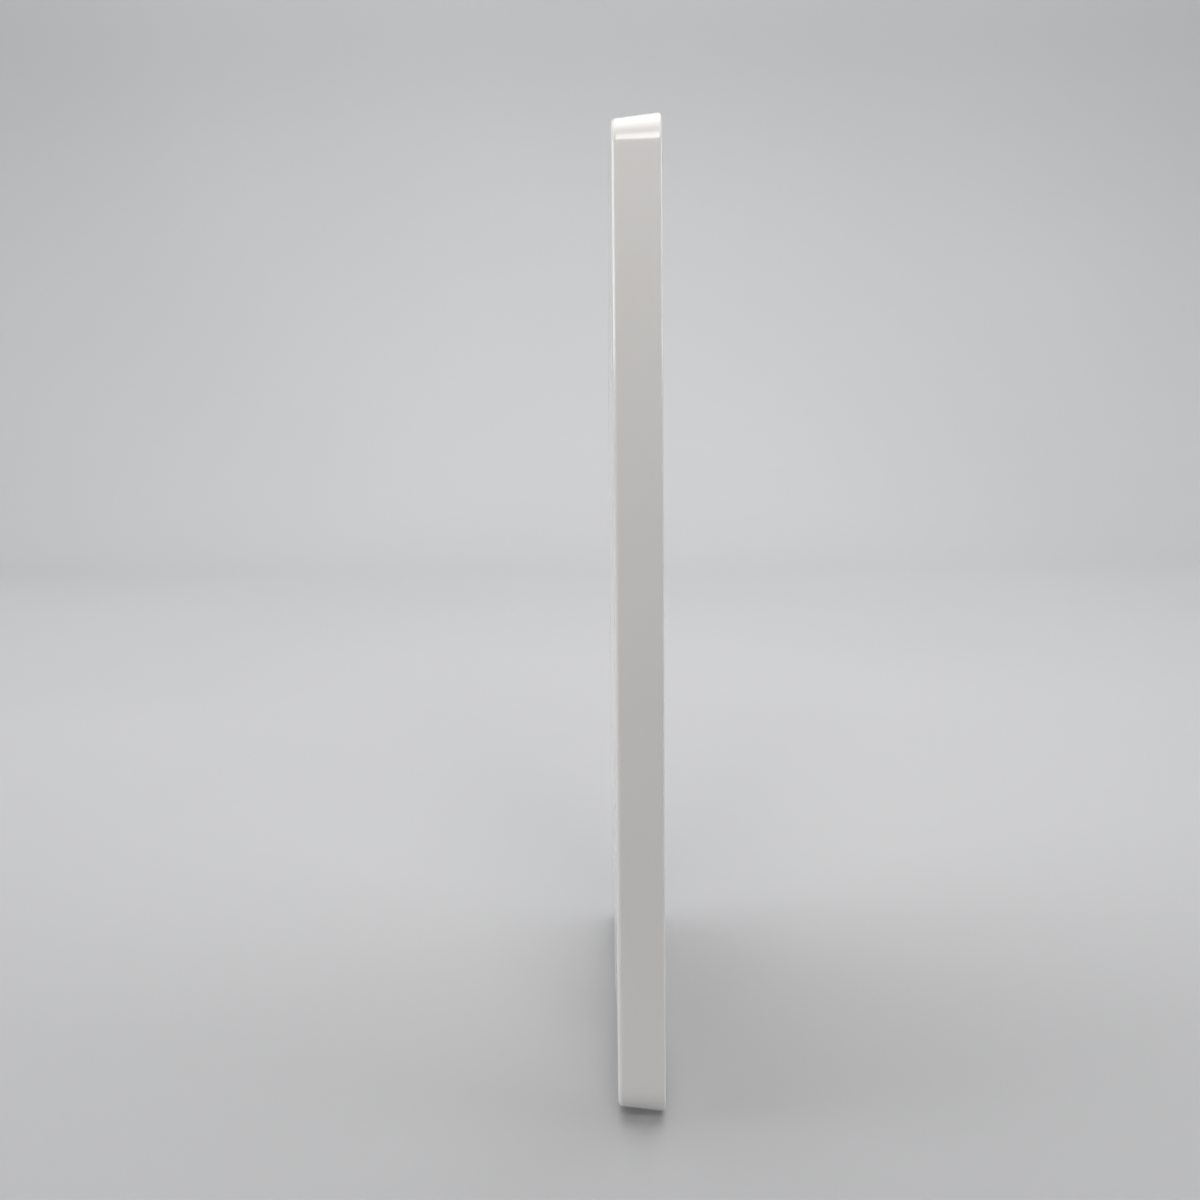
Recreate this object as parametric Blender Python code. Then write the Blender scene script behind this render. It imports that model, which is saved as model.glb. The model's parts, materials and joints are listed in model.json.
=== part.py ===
"""A slim ten-inch digital photo frame that stands upright on its short edge.

The picture faces -Y, the long side is upright along +Z, and the origin is the middle of the
footprint. Depths are measured from the front face towards the back, and heights that start
with the word middle are measured from the middle of the body.
"""

import math

import bmesh
import bpy
from mathutils import Matrix, Vector

MM = 0.001

# Body
BODY_WIDTH = 172 * MM
BODY_HEIGHT = 252 * MM
BODY_DEPTH = 12.2 * MM
CROWN = 1 * MM
CORNER_RADIUS = 8 * MM
DRAFT = math.radians(6.9)
SIDE_WALL = 1.8 * MM
BACK_WALL = 1.5 * MM
BACK_FILLET = 1.4 * MM
FRONT_ROUND = 0.7 * MM
CORNER_STEPS = 7
FILLET_STEPS = 4
CROWN_MARGIN = 4.5 * MM
CROWN_SINK = 0.05 * MM
CROWN_COLUMNS = 10
CROWN_ROWS = 14

# Clearances
GAP = 0.3 * MM
SHEET_GAP = 0.2 * MM
BORE_GAP = 0.15 * MM
CUT_MARGIN = 1 * MM
WELD = 0.5 * MM
END_FLAT = 0.02 * MM

# Feet
FOOT_STANDOFF = 1.5 * MM
FOOT_LENGTH = 26 * MM
FOOT_FRONT = 1.2 * MM
FOOT_DEPTH = 9.2 * MM
FOOT_SEAT = 0.5 * MM
FOOT_OFFSET = 56 * MM

# Display
BEZEL_THICKNESS = 1.5 * MM
ACTIVE_WIDTH = 135.6 * MM
ACTIVE_HEIGHT = 217 * MM
WINDOW_LAP = 0.5 * MM
WINDOW_CHAMFER = 0.6 * MM
WINDOW_CORNER = 1 * MM
PANEL_WIDTH = 149 * MM
PANEL_HEIGHT = 229.6 * MM
PANEL_STEEL = 0.4 * MM
SHEET_CORNER = 1 * MM
CHASSIS_CORNER = 1.6 * MM
TOUCH_GLASS_THICKNESS = 0.7 * MM
TOUCH_GLASS_INSET = 1 * MM
CELL_THICKNESS = 0.9 * MM
CELL_INSET = 2.6 * MM
FILM_THICKNESS = 0.3 * MM
GUIDE_THICKNESS = 1 * MM
REFLECTOR_THICKNESS = 0.25 * MM
FRAME_RIB = 3.4 * MM
LED_COUNT = 18
LED_SIZE = 3 * MM
LED_BAR = 1 * MM
LED_BAY = 3 * MM
LED_STEP = 0.2 * MM

# Fasteners
SCREW_RADIUS = 1 * MM
SCREW_HEAD_RADIUS = 1.9 * MM
SCREW_HEAD = 1 * MM
SCREW_POINT = 0.5 * MM
CROSS_WIDTH = 0.5 * MM
CROSS_DEPTH = 0.5 * MM
BOSS_RADIUS = 2.8 * MM
REAR_BOSS_RADIUS = 3.2 * MM
CASE_SCREW_SETBACK = 7.4 * MM
CASE_HEAD_RECESS = 0.3 * MM
REAR_BOSS_DEPTH = 8 * MM
CASE_SCREW_TIP = 4.5 * MM
CLIP_SCREW_TIP = 3 * MM
UPPER_CLIP_OFFSET = 45 * MM
LOWER_CLIP_OFFSET = 29 * MM
CLIP_THICKNESS = 0.5 * MM
CLIP_WIDTH = 8 * MM
CLIP_LAP = 6 * MM
CLIP_BOSS_RADIUS = 2.2 * MM
CLIP_REACH = 3.2 * MM
CLIP_CORNER = 1 * MM

# Main board
BOARD_LEFT = 22 * MM
BOARD_BOTTOM = 44 * MM
BOARD_TOP = 106 * MM
BOARD_THICKNESS = 0.8 * MM
BOARD_STANDOFF = 0.6 * MM
STANDOFF_RADIUS = 2 * MM
BOARD_SCREW_INSET = 4 * MM
CHIP_CORNER = 0.4 * MM
PROCESSOR_PLACE = (44 * MM, 66 * MM)
PROCESSOR_SIZE = 14 * MM
PROCESSOR_HEIGHT = 0.8 * MM
SHIELD_SIZE = 22 * MM
SHIELD_CORNER = 1 * MM
SHIELD_HEIGHT = 1.3 * MM
SHIELD_SHEET = 0.25 * MM
RADIO_PLACE = (30 * MM, 86 * MM)
RADIO_SIZE = 12 * MM
RADIO_HEIGHT = 1.3 * MM
BACKUP_PLACE = (40 * MM, 92 * MM)
BACKUP_RADIUS = 3.4 * MM
BACKUP_HEIGHT = 1.3 * MM
PLUG_PLACE = (59.5 * MM, 98 * MM)
PLUG_SIZE = (20 * MM, 3 * MM)
PLUG_HEIGHT = 0.9 * MM

# Connectors
USB_WIDTH = 9 * MM
USB_THICKNESS = 3.2 * MM
USB_LENGTH = 7.4 * MM
USB_HEIGHT = 60 * MM
USB_SHELL = 0.3 * MM
USB_END_WALL = 1 * MM
USB_TONGUE = 0.7 * MM
USB_TONGUE_WIDTH = 6.5 * MM
USB_TONGUE_SETBACK = 0.8 * MM
CARD_WIDTH = 14 * MM
CARD_LENGTH = 15 * MM
CARD_THICKNESS = 1.4 * MM
CARD_HEIGHT = 84 * MM
CARD_SLOT_WIDTH = 12 * MM
CARD_SLOT_DEPTH = 0.9 * MM
CARD_END_WALL = 1 * MM
RIBBON_THICKNESS = 0.2 * MM

# Buttons
BUTTON_HEIGHTS = {"power_button": -62 * MM, "volume_down_button": -42 * MM, "volume_up_button": -28 * MM}
BUTTON_LENGTHS = {"power_button": 11 * MM, "volume_down_button": 9 * MM, "volume_up_button": 9 * MM}
BUTTON_THICKNESS = 2.6 * MM
BUTTON_DEPTH = 6 * MM
BUTTON_PROUD = 0.3 * MM
BUTTON_TRAVEL = 0.3 * MM
PRESS_GAP = 0.1 * MM
FLANGE_THICKNESS = 0.8 * MM
FLANGE_LIP = 1 * MM
SWITCH_SIZE = 3.4 * MM
SWITCH_THICKNESS = 1.2 * MM
PLUNGER_HEIGHT = 0.4 * MM
PLUNGER_RADIUS = 0.8 * MM
BUTTON_BOARD_THICKNESS = 0.8 * MM
BUTTON_BOARD_MARGIN = 8 * MM
RIB_WALL = 1.4 * MM
RIB_INSET = 1 * MM
RIB_LENGTH = 3 * MM

# Kickstand
HINGE_HEIGHT = 104 * MM
LEG_WIDTH = 32 * MM
LEG_THICKNESS = 3 * MM
LEG_TAPER = 0.75 * MM
LEG_TIP = 10 * MM
LEG_INSET = 0.05 * MM
LEG_CORNER = 3 * MM
BARREL_RADIUS = 1.7 * MM
BARREL_SETBACK = 1.4 * MM
PIN_RADIUS = 0.75 * MM
PIN_REACH = 2.4 * MM
WASHER_THICKNESS = 0.7 * MM
WASHER_RADIUS = 1.5 * MM
PAD_HEIGHT = 2.8 * MM
PAD_CORNER = 1 * MM
PAD_SETBACK = 0.2 * MM
POCKET_FLOOR = 1.2 * MM
TROUGH_FLOOR = 0.9 * MM
POCKET_WALL = 2 * MM
HINGE_BLOCK = 4 * MM
NOTCH_HEIGHT = 24 * MM
NOTCH_RADIUS = 6.5 * MM
NOTCH_FLOOR = 1 * MM

# Wall hanger
HANGER_BOTTOM = 122 * MM
HANGER_TOP = 166 * MM
HANGER_WIDTH = 16 * MM
HANGER_THICKNESS = 0.8 * MM
HANGER_INSET = 0.2 * MM
HANGER_CORNER = 2 * MM
KEYHOLE_RADIUS = 4 * MM
KEYHOLE_SLOT = 4 * MM
KEYHOLE_RISE = 9 * MM
KEYHOLE_DEPTH = 2.4 * MM

# Speakers, antenna and vents
SPEAKER_LENGTH = 30 * MM
SPEAKER_HEIGHT = 7 * MM
SPEAKER_DEPTH = 4.4 * MM
SPEAKER_CORNER = 2 * MM
SPEAKER_OFFSET = 52 * MM
GRILLE_SLOTS = 9
SLOT_WIDTH = 1.2 * MM
GRILLE_LENGTH = 4 * MM
GRILLE_PITCH = 2.8 * MM
VENT_SLOTS = 11
VENT_LENGTH = 9 * MM
VENT_PITCH = 3.6 * MM
VENT_HEIGHT = 76 * MM
ANTENNA_LENGTH = 42 * MM
ANTENNA_WIDTH = 6 * MM
ANTENNA_THICKNESS = 0.6 * MM
ANTENNA_HEIGHT = 74 * MM
LEAD_RADIUS = 0.6 * MM
ANTENNA_LEAD_RADIUS = 0.5 * MM

# Worked out from the values above
MIDDLE = FOOT_STANDOFF + BODY_HEIGHT / 2
BACK_DEPTH = BODY_DEPTH + CROWN
FRONT = -BACK_DEPTH / 2
DRAFT_SLOPE = math.tan(DRAFT)
BACK_INNER = BODY_DEPTH - BACK_WALL
TOUCH_DEPTH = BEZEL_THICKNESS + GAP
CELL_DEPTH = TOUCH_DEPTH + TOUCH_GLASS_THICKNESS + GAP
FILM_DEPTH = CELL_DEPTH + CELL_THICKNESS + SHEET_GAP
GUIDE_DEPTH = FILM_DEPTH + FILM_THICKNESS + SHEET_GAP
REFLECTOR_DEPTH = GUIDE_DEPTH + GUIDE_THICKNESS + SHEET_GAP
CHASSIS_DEPTH = REFLECTOR_DEPTH + REFLECTOR_THICKNESS + SHEET_GAP
PANEL_BACK = CHASSIS_DEPTH + PANEL_STEEL
BOARD_DEPTH = PANEL_BACK + BOARD_STANDOFF + GAP
BOARD_REAR = BOARD_DEPTH + BOARD_THICKNESS
PART_DEPTH = BOARD_REAR + SHEET_GAP
BARREL_DEPTH = BACK_DEPTH - LEG_INSET - BARREL_RADIUS
LEG_DEPTH = BACK_DEPTH - LEG_INSET - LEG_THICKNESS
HANGER_DEPTH = BACK_DEPTH - HANGER_INSET - HANGER_THICKNESS
POCKET_DEPTH = LEG_DEPTH - GAP
POCKET_BACK = POCKET_DEPTH - POCKET_FLOOR
BARREL_HALF = LEG_WIDTH / 2 - BARREL_SETBACK
POCKET_HALF = LEG_WIDTH / 2 + GAP
BOSS_X = BODY_WIDTH / 2 - CASE_SCREW_SETBACK
BOSS_Z = BODY_HEIGHT / 2 - CASE_SCREW_SETBACK

COLOURS = {
    "gloss_white": ((0.86, 0.86, 0.85), 0.12, 0.0),
    "white_plastic": ((0.80, 0.80, 0.79), 0.45, 0.0),
    "dark_glass": ((0.012, 0.013, 0.015), 0.05, 0.0),
    "clear_sheet": ((0.75, 0.80, 0.82), 0.15, 0.0),
    "silver_film": ((0.78, 0.79, 0.80), 0.25, 1.0),
    "steel": ((0.60, 0.61, 0.62), 0.32, 1.0),
    "board_green": ((0.02, 0.14, 0.07), 0.45, 0.0),
    "chip_black": ((0.02, 0.02, 0.02), 0.55, 0.0),
    "rubber_grey": ((0.24, 0.24, 0.25), 0.85, 0.0),
    "cable_black": ((0.03, 0.03, 0.03), 0.60, 0.0),
    "flex_amber": ((0.45, 0.22, 0.04), 0.40, 0.0),
}


# ---------------------------------------------------------------- Helpers


def make_material(name):
    """A Principled material of the palette."""
    colour, roughness, metallic = COLOURS[name]
    material = bpy.data.materials.new(name)
    material.use_nodes = True
    shader = material.node_tree.nodes["Principled BSDF"]
    shader.inputs["Base Color"].default_value = (*colour, 1)
    shader.inputs["Roughness"].default_value = roughness
    shader.inputs["Metallic"].default_value = metallic
    return material


def depth_y(depth):
    """The Y coordinate of a depth measured from the front face."""
    return FRONT + depth


def draft_inset(depth):
    """How far the drafted side wall has moved in at a depth."""
    return max(depth - FRONT_ROUND, 0) * DRAFT_SLOPE


def wall_x(depth):
    """The outer face of the right-hand wall at a depth."""
    return BODY_WIDTH / 2 - draft_inset(depth)


def outline(width, height, radius, centre=(0, MIDDLE), steps=CORNER_STEPS):
    """A rounded rectangle in the XZ plane, as (x, z) points."""
    corners = ((1, 1, 0), (-1, 1, 90), (-1, -1, 180), (1, -1, 270))
    points = []
    for side, up, start in corners:
        x = centre[0] + side * (width / 2 - radius)
        z = centre[1] + up * (height / 2 - radius)
        for step in range(steps + 1):
            angle = math.radians(start + 90 * step / steps)
            points.append((x + radius * math.cos(angle), z + radius * math.sin(angle)))
    return points


def body_outline(inset):
    """The body's outline, moved in by a distance."""
    return outline(BODY_WIDTH - 2 * inset, BODY_HEIGHT - 2 * inset, CORNER_RADIUS - inset)


def add_loft(shape, rings):
    """A closed skin over rings of equal point counts, capped at both ends."""
    loops = [[shape.verts.new(point) for point in ring] for ring in rings]
    count = len(loops[0])
    for first, second in zip(loops, loops[1:]):
        for index in range(count):
            after = (index + 1) % count
            shape.faces.new((first[index], first[after], second[after], second[index]))
    shape.faces.new(reversed(loops[0]))
    shape.faces.new(loops[-1])


def add_plate(shape, points, start, end):
    """A flat plate: an outline in the XZ plane between two depths."""
    rings = [[(x, depth_y(depth), z) for x, z in points] for depth in (start, end)]
    add_loft(shape, rings)


def add_box(shape, x, depth, z):
    """A box between pairs of X, depth and Z values."""
    corners = [(x[0], z[0]), (x[1], z[0]), (x[1], z[1]), (x[0], z[1])]
    add_plate(shape, corners, depth[0], depth[1])


def add_cylinder(shape, centre, axis, radius, length, segments=16):
    """A cylinder whose start is at centre and which runs along an axis."""
    turn = Vector((0, 0, 1)).rotation_difference(Vector(axis)).to_matrix().to_4x4()
    place = Matrix.Translation(Vector(centre) + Vector(axis) * length / 2) @ turn
    bmesh.ops.create_cone(
        shape,
        cap_ends=True,
        segments=segments,
        radius1=radius,
        radius2=radius,
        depth=length,
        matrix=place,
    )


def add_post(shape, x, z, radius, start, end, segments=16):
    """A cylinder that runs from one depth to a larger one."""
    add_cylinder(shape, (x, depth_y(start), z), (0, 1, 0), radius, end - start, segments)


def finish_shape(name, shape, origin):
    """Turns the working shape into an object whose origin is at a point."""
    bmesh.ops.recalc_face_normals(shape, faces=shape.faces)
    bmesh.ops.translate(shape, verts=shape.verts, vec=-Vector(origin))
    mesh = bpy.data.meshes.new(name)
    shape.to_mesh(mesh)
    shape.free()
    mesh.shade_smooth()
    mesh.set_sharp_from_angle(angle=math.radians(30))
    obj = bpy.data.objects.new(name, mesh)
    obj.location = origin
    bpy.context.scene.collection.objects.link(obj)
    return obj


def piece(name, shape, material, origin=(0, 0, 0)):
    """A finished part of the frame."""
    obj = finish_shape(name, shape, origin)
    obj.data.materials.append(MATERIALS[material])
    return obj


def combine(target, name, shape, operation):
    """Cuts a shape from a part, or joins it to the part."""
    guide = finish_shape(name, shape, (0, 0, 0))
    guide.hide_render = True
    guide.display_type = "WIRE"
    guide.parent = target
    guide.matrix_parent_inverse = Matrix.Translation(-Vector(target.location))
    modifier = target.modifiers.new(name, "BOOLEAN")
    modifier.operation = operation
    modifier.object = guide
    modifier.solver = "EXACT"


def cable(name, points, radius, material, sides=1):
    """A round lead along a smooth curve through a few points."""
    curve = bpy.data.curves.new(name, "CURVE")
    curve.dimensions = "3D"
    curve.bevel_depth = radius
    curve.bevel_resolution = sides
    curve.use_fill_caps = True
    path = smooth_path([Vector(point) for point in points])
    spline = curve.splines.new("POLY")
    spline.points.add(len(path) - 1)
    for slot, point in zip(spline.points, path):
        slot.co = (*point, 1)
    obj = bpy.data.objects.new(name, curve)
    curve.materials.append(MATERIALS[material])
    bpy.context.scene.collection.objects.link(obj)
    return obj


def smooth_path(points, steps=5):
    """Points along a Catmull-Rom curve through the given points."""
    ends = [points[0] * 2 - points[1], *points, points[-1] * 2 - points[-2]]
    path = []
    for p0, p1, p2, p3 in zip(ends, ends[1:], ends[2:], ends[3:]):
        for step in range(steps):
            t = step / steps
            path.append(
                0.5 * (2 * p1 + (p2 - p0) * t + (2 * p0 - 5 * p1 + 4 * p2 - p3) * t**2
                       + (3 * p1 - p0 - 3 * p2 + p3) * t**3)
            )
    path.append(points[-1])
    return path


def ribbon(name, x, profile, thickness, material):
    """A flat cable of one width in X that follows (z, depth) points."""
    path = smooth_path([Vector((0, depth_y(depth), z)) for z, depth in profile], 3)
    left, right = [], []
    for index, point in enumerate(path):
        ahead = path[min(index + 1, len(path) - 1)] - path[max(index - 1, 0)]
        side = Vector((0, -ahead.z, ahead.y)).normalized() * thickness / 2
        left.append(point + side)
        right.append(point - side)
    loop = left + right[::-1]
    rings = [[Vector((edge, 0, 0)) + point for point in loop] for edge in x]
    shape = bmesh.new()
    add_loft(shape, rings)
    return piece(name, shape, material)


# ---------------------------------------------------------------- Casing


def add_shell(shape):
    """The tray of the rear cover: drafted walls, a rounded back edge and an open front."""
    rings = []
    for step in range(FILLET_STEPS + 1):
        angle = math.radians(90 * step / FILLET_STEPS)
        depth = BODY_DEPTH - BACK_FILLET * (1 - math.cos(angle))
        inset = draft_inset(BODY_DEPTH - BACK_FILLET) + BACK_FILLET * (1 - math.sin(angle))
        rings.append((depth, inset))
    rings.append((FRONT_ROUND, 0))
    turn = math.radians(45)
    rings.append((FRONT_ROUND * (1 - math.sin(turn)), FRONT_ROUND * (1 - math.cos(turn))))
    rings.append((0, FRONT_ROUND))
    rings.append((0, SIDE_WALL))
    rings.append((BACK_INNER, SIDE_WALL + draft_inset(BACK_INNER)))
    add_loft(shape, [[(x, depth_y(depth), z) for x, z in body_outline(inset)] for depth, inset in rings])


def add_crown(shape):
    """The gentle dome of the back, a closed solid whose rim lies just under the flat margin."""
    half_width = BODY_WIDTH / 2 - CROWN_MARGIN
    half_height = BODY_HEIGHT / 2 - CROWN_MARGIN
    base = depth_y(BACK_INNER + WELD)
    floor, dome = [], []
    for row in range(CROWN_ROWS + 1):
        up = 2 * row / CROWN_ROWS - 1
        floor_row, dome_row = [], []
        for column in range(CROWN_COLUMNS + 1):
            across = 2 * column / CROWN_COLUMNS - 1
            inside = 0 < row < CROWN_ROWS and 0 < column < CROWN_COLUMNS
            rise = CROWN * (1 - across**2) * (1 - up**2) if inside else -CROWN_SINK
            x, z = across * half_width, MIDDLE + up * half_height
            dome_row.append(shape.verts.new((x, depth_y(BODY_DEPTH + rise), z)))
            floor_row.append(shape.verts.new((x, base, z)))
        floor.append(floor_row)
        dome.append(dome_row)
    for row in range(CROWN_ROWS):
        for column in range(CROWN_COLUMNS):
            for sheet in (floor, dome):
                a, b = sheet[row][column], sheet[row][column + 1]
                c, d = sheet[row + 1][column + 1], sheet[row + 1][column]
                shape.faces.new((a, b, c))
                shape.faces.new((a, c, d))
    rim = [(0, column) for column in range(CROWN_COLUMNS)]
    rim += [(row, CROWN_COLUMNS) for row in range(CROWN_ROWS)]
    rim += [(CROWN_ROWS, column) for column in range(CROWN_COLUMNS, 0, -1)]
    rim += [(row, 0) for row in range(CROWN_ROWS, 0, -1)]
    for (row, column), (next_row, next_column) in zip(rim, rim[1:] + rim[:1]):
        lower, upper = floor[row][column], floor[next_row][next_column]
        shape.faces.new((lower, upper, dome[next_row][next_column], dome[row][column]))


def case_screw_places():
    """The four corner screws, as (name, x, z)."""
    for vertical, z in (("lower", MIDDLE - BOSS_Z), ("upper", MIDDLE + BOSS_Z)):
        for side, x in (("left", -BOSS_X), ("right", BOSS_X)):
            yield f"{vertical}_{side}", x, z


def slot_row(shape, centre_x, centre_z, count, pitch, length, start, end):
    """A row of upright round-ended slots cut through between two depths."""
    for index in range(count):
        x = centre_x + (index - (count - 1) / 2) * pitch
        points = outline(SLOT_WIDTH, length, SLOT_WIDTH / 2 - END_FLAT, (x, centre_z), 2)
        add_plate(shape, points, start, end)


def button_span(name):
    """The lowest and highest height of a side button."""
    middle = MIDDLE + BUTTON_HEIGHTS[name]
    return middle - BUTTON_LENGTHS[name] / 2, middle + BUTTON_LENGTHS[name] / 2


def add_stadium(shape, x, depth, z, thickness, length, steps=4):
    """A round-ended bar across X: its section is in the YZ plane, long along Z."""
    points = outline(thickness, length, thickness / 2 - END_FLAT, (depth_y(depth), z), steps)
    add_loft(shape, [[(edge, y, height) for y, height in points] for edge in x])


def build_rear_cover():
    """The glossy tray with its hinge pocket, hanger recess, bosses, vents and side openings."""
    shape = bmesh.new()
    add_shell(shape)
    cover = piece("rear_cover", shape, "gloss_white")
    dome = bmesh.new()
    add_crown(dome)
    combine(cover, "back_crown", dome, "UNION")

    # Material behind the pockets, welded into the back wall
    joined = bmesh.new()
    weld = BACK_INNER + WELD
    half = POCKET_HALF + POCKET_WALL
    pocket_top = HINGE_HEIGHT + BARREL_RADIUS + GAP + POCKET_WALL
    floor = FOOT_STANDOFF + SIDE_WALL + WELD
    add_box(joined, (-half, half), (POCKET_BACK, weld), (floor, pocket_top))
    combine(cover, "pocket_block", joined, "UNION")

    hinge = bmesh.new()
    block = POCKET_HALF + HINGE_BLOCK
    trough = BARREL_DEPTH - BARREL_RADIUS - GAP - TROUGH_FLOOR
    reach = BARREL_RADIUS + POCKET_WALL
    hinge_z = (HINGE_HEIGHT - reach, HINGE_HEIGHT + reach + GAP + WELD)
    add_box(hinge, (-block, block), (trough, weld), hinge_z)
    combine(cover, "hinge_block", hinge, "UNION")

    notch = bmesh.new()
    notch_floor = LEG_DEPTH - GAP
    notch_x = (POCKET_HALF, POCKET_HALF + NOTCH_RADIUS + POCKET_WALL)
    notch_z = (NOTCH_HEIGHT - NOTCH_RADIUS - POCKET_WALL, NOTCH_HEIGHT + NOTCH_RADIUS + POCKET_WALL)
    add_box(notch, notch_x, (notch_floor - NOTCH_FLOOR, weld), notch_z)
    combine(cover, "notch_block", notch, "UNION")

    hanger = bmesh.new()
    seat = HANGER_DEPTH - GAP
    hanger_half = HANGER_WIDTH / 2 + GAP + POCKET_WALL
    hanger_floor = seat - KEYHOLE_DEPTH - POCKET_FLOOR
    hanger_z = (HANGER_BOTTOM - GAP - POCKET_WALL, HANGER_TOP + GAP + POCKET_WALL)
    add_box(hanger, (-hanger_half, hanger_half), (hanger_floor, weld), hanger_z)
    combine(cover, "hanger_block", hanger, "UNION")

    bosses = bmesh.new()
    for _, x, z in case_screw_places():
        add_post(bosses, x, z, REAR_BOSS_RADIUS, REAR_BOSS_DEPTH, weld)
    combine(cover, "rear_bosses", bosses, "UNION")

    # Kickstand pocket, with a round trough under the barrel and a finger notch beside the leg
    pocket = bmesh.new()
    outside = BACK_DEPTH + CUT_MARGIN
    pocket_low = LEG_TIP - GAP - PAD_HEIGHT - GAP
    pocket_high = HINGE_HEIGHT
    add_box(pocket, (-POCKET_HALF, POCKET_HALF), (POCKET_DEPTH, outside), (pocket_low, pocket_high))
    combine(cover, "pocket_cut", pocket, "DIFFERENCE")

    barrel = bmesh.new()
    place = (-POCKET_HALF, depth_y(BARREL_DEPTH), HINGE_HEIGHT)
    add_cylinder(barrel, place, (1, 0, 0), BARREL_RADIUS + GAP, 2 * POCKET_HALF, 24)
    combine(cover, "barrel_cut", barrel, "DIFFERENCE")

    mouth = bmesh.new()
    width = BARREL_RADIUS + GAP
    mouth_z = (HINGE_HEIGHT - width, HINGE_HEIGHT + width)
    add_box(mouth, (-POCKET_HALF, POCKET_HALF), (BARREL_DEPTH, outside), mouth_z)
    combine(cover, "mouth_cut", mouth, "DIFFERENCE")

    finger = bmesh.new()
    add_post(finger, POCKET_HALF, NOTCH_HEIGHT, NOTCH_RADIUS, notch_floor, outside, 24)
    combine(cover, "finger_cut", finger, "DIFFERENCE")

    # Recess for the hanger plate and the deeper pocket for a wall screw's head
    recess = bmesh.new()
    middle = (0, (HANGER_BOTTOM + HANGER_TOP) / 2)
    width = HANGER_WIDTH + 2 * GAP
    height = HANGER_TOP - HANGER_BOTTOM + 2 * GAP
    add_plate(recess, outline(width, height, HANGER_CORNER + GAP, middle, 4), seat, outside)
    combine(cover, "hanger_cut", recess, "DIFFERENCE")

    head = bmesh.new()
    head_half = KEYHOLE_RADIUS + GAP
    low, high = keyhole_span()
    head_z = (low - GAP, high + KEYHOLE_RADIUS)
    add_box(head, (-head_half, head_half), (seat - KEYHOLE_DEPTH, seat + GAP), head_z)
    combine(cover, "head_cut", head, "DIFFERENCE")

    # Bores of the hinge pin and the case screws
    bores = bmesh.new()
    pin = POCKET_HALF + PIN_REACH + GAP
    place = (-pin, depth_y(BARREL_DEPTH), HINGE_HEIGHT)
    add_cylinder(bores, place, (1, 0, 0), PIN_RADIUS + BORE_GAP, 2 * pin, 12)
    combine(cover, "pin_bore", bores, "DIFFERENCE")

    holes = bmesh.new()
    for _, x, z in case_screw_places():
        add_post(holes, x, z, SCREW_RADIUS + BORE_GAP, REAR_BOSS_DEPTH - CUT_MARGIN, outside)
    combine(cover, "screw_holes", holes, "DIFFERENCE")

    heads = bmesh.new()
    for _, x, z in case_screw_places():
        start = BODY_DEPTH - CASE_HEAD_RECESS - SCREW_HEAD - GAP
        add_post(heads, x, z, SCREW_HEAD_RADIUS + GAP, start, outside)
    combine(cover, "head_holes", heads, "DIFFERENCE")

    # Vents over the board and grilles over the speakers
    slots = bmesh.new()
    inside = BACK_INNER - CUT_MARGIN
    for side in (-1, 1):
        vent_x = side * (BOARD_LEFT + wall_x(BACK_INNER)) / 2
        slot_row(slots, vent_x, MIDDLE + VENT_HEIGHT, VENT_SLOTS, VENT_PITCH, VENT_LENGTH, inside, outside)
        grille_z = speaker_middle()
        grille_x = side * SPEAKER_OFFSET
        slot_row(slots, grille_x, grille_z, GRILLE_SLOTS, GRILLE_PITCH, GRILLE_LENGTH, inside, outside)
    combine(cover, "back_slots", slots, "DIFFERENCE")

    # Openings in the right-hand wall
    openings = bmesh.new()
    across = (wall_x(0) - SIDE_WALL - 3 * CUT_MARGIN, wall_x(0) + CUT_MARGIN)
    usb_depth = BOARD_DEPTH + BOARD_THICKNESS / 2
    usb_thick, usb_wide = USB_THICKNESS + 2 * GAP, USB_WIDTH + 2 * GAP
    add_stadium(openings, across, usb_depth, MIDDLE + USB_HEIGHT, usb_thick, usb_wide)
    card_depth = PART_DEPTH + CARD_THICKNESS / 2
    slot = (CARD_SLOT_DEPTH + 2 * GAP, CARD_SLOT_WIDTH)
    add_stadium(openings, across, card_depth, MIDDLE + CARD_HEIGHT, *slot)
    for name in BUTTON_HEIGHTS:
        low, high = button_span(name)
        wide, long = BUTTON_THICKNESS + 2 * GAP, high - low + 2 * GAP
        add_stadium(openings, across, BUTTON_DEPTH, (low + high) / 2, wide, long)
    combine(cover, "side_openings", openings, "DIFFERENCE")

    # Shallow seats for the two feet in the lower wall
    seats = bmesh.new()
    for side in (-1, 1):
        x = side * FOOT_OFFSET
        half = FOOT_LENGTH / 2 + GAP
        ends = (FOOT_FRONT - GAP, FOOT_FRONT + FOOT_DEPTH + GAP)
        add_foot_wedge(seats, (x - half, x + half), *ends, GAP, -CUT_MARGIN)
    combine(cover, "foot_seats", seats, "DIFFERENCE")


def speaker_middle():
    """The height of the speakers' middle, in the strip below the panel."""
    low = FOOT_STANDOFF + SIDE_WALL + draft_inset(BACK_INNER)
    high = MIDDLE - PANEL_HEIGHT / 2
    return (low + high) / 2


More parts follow.
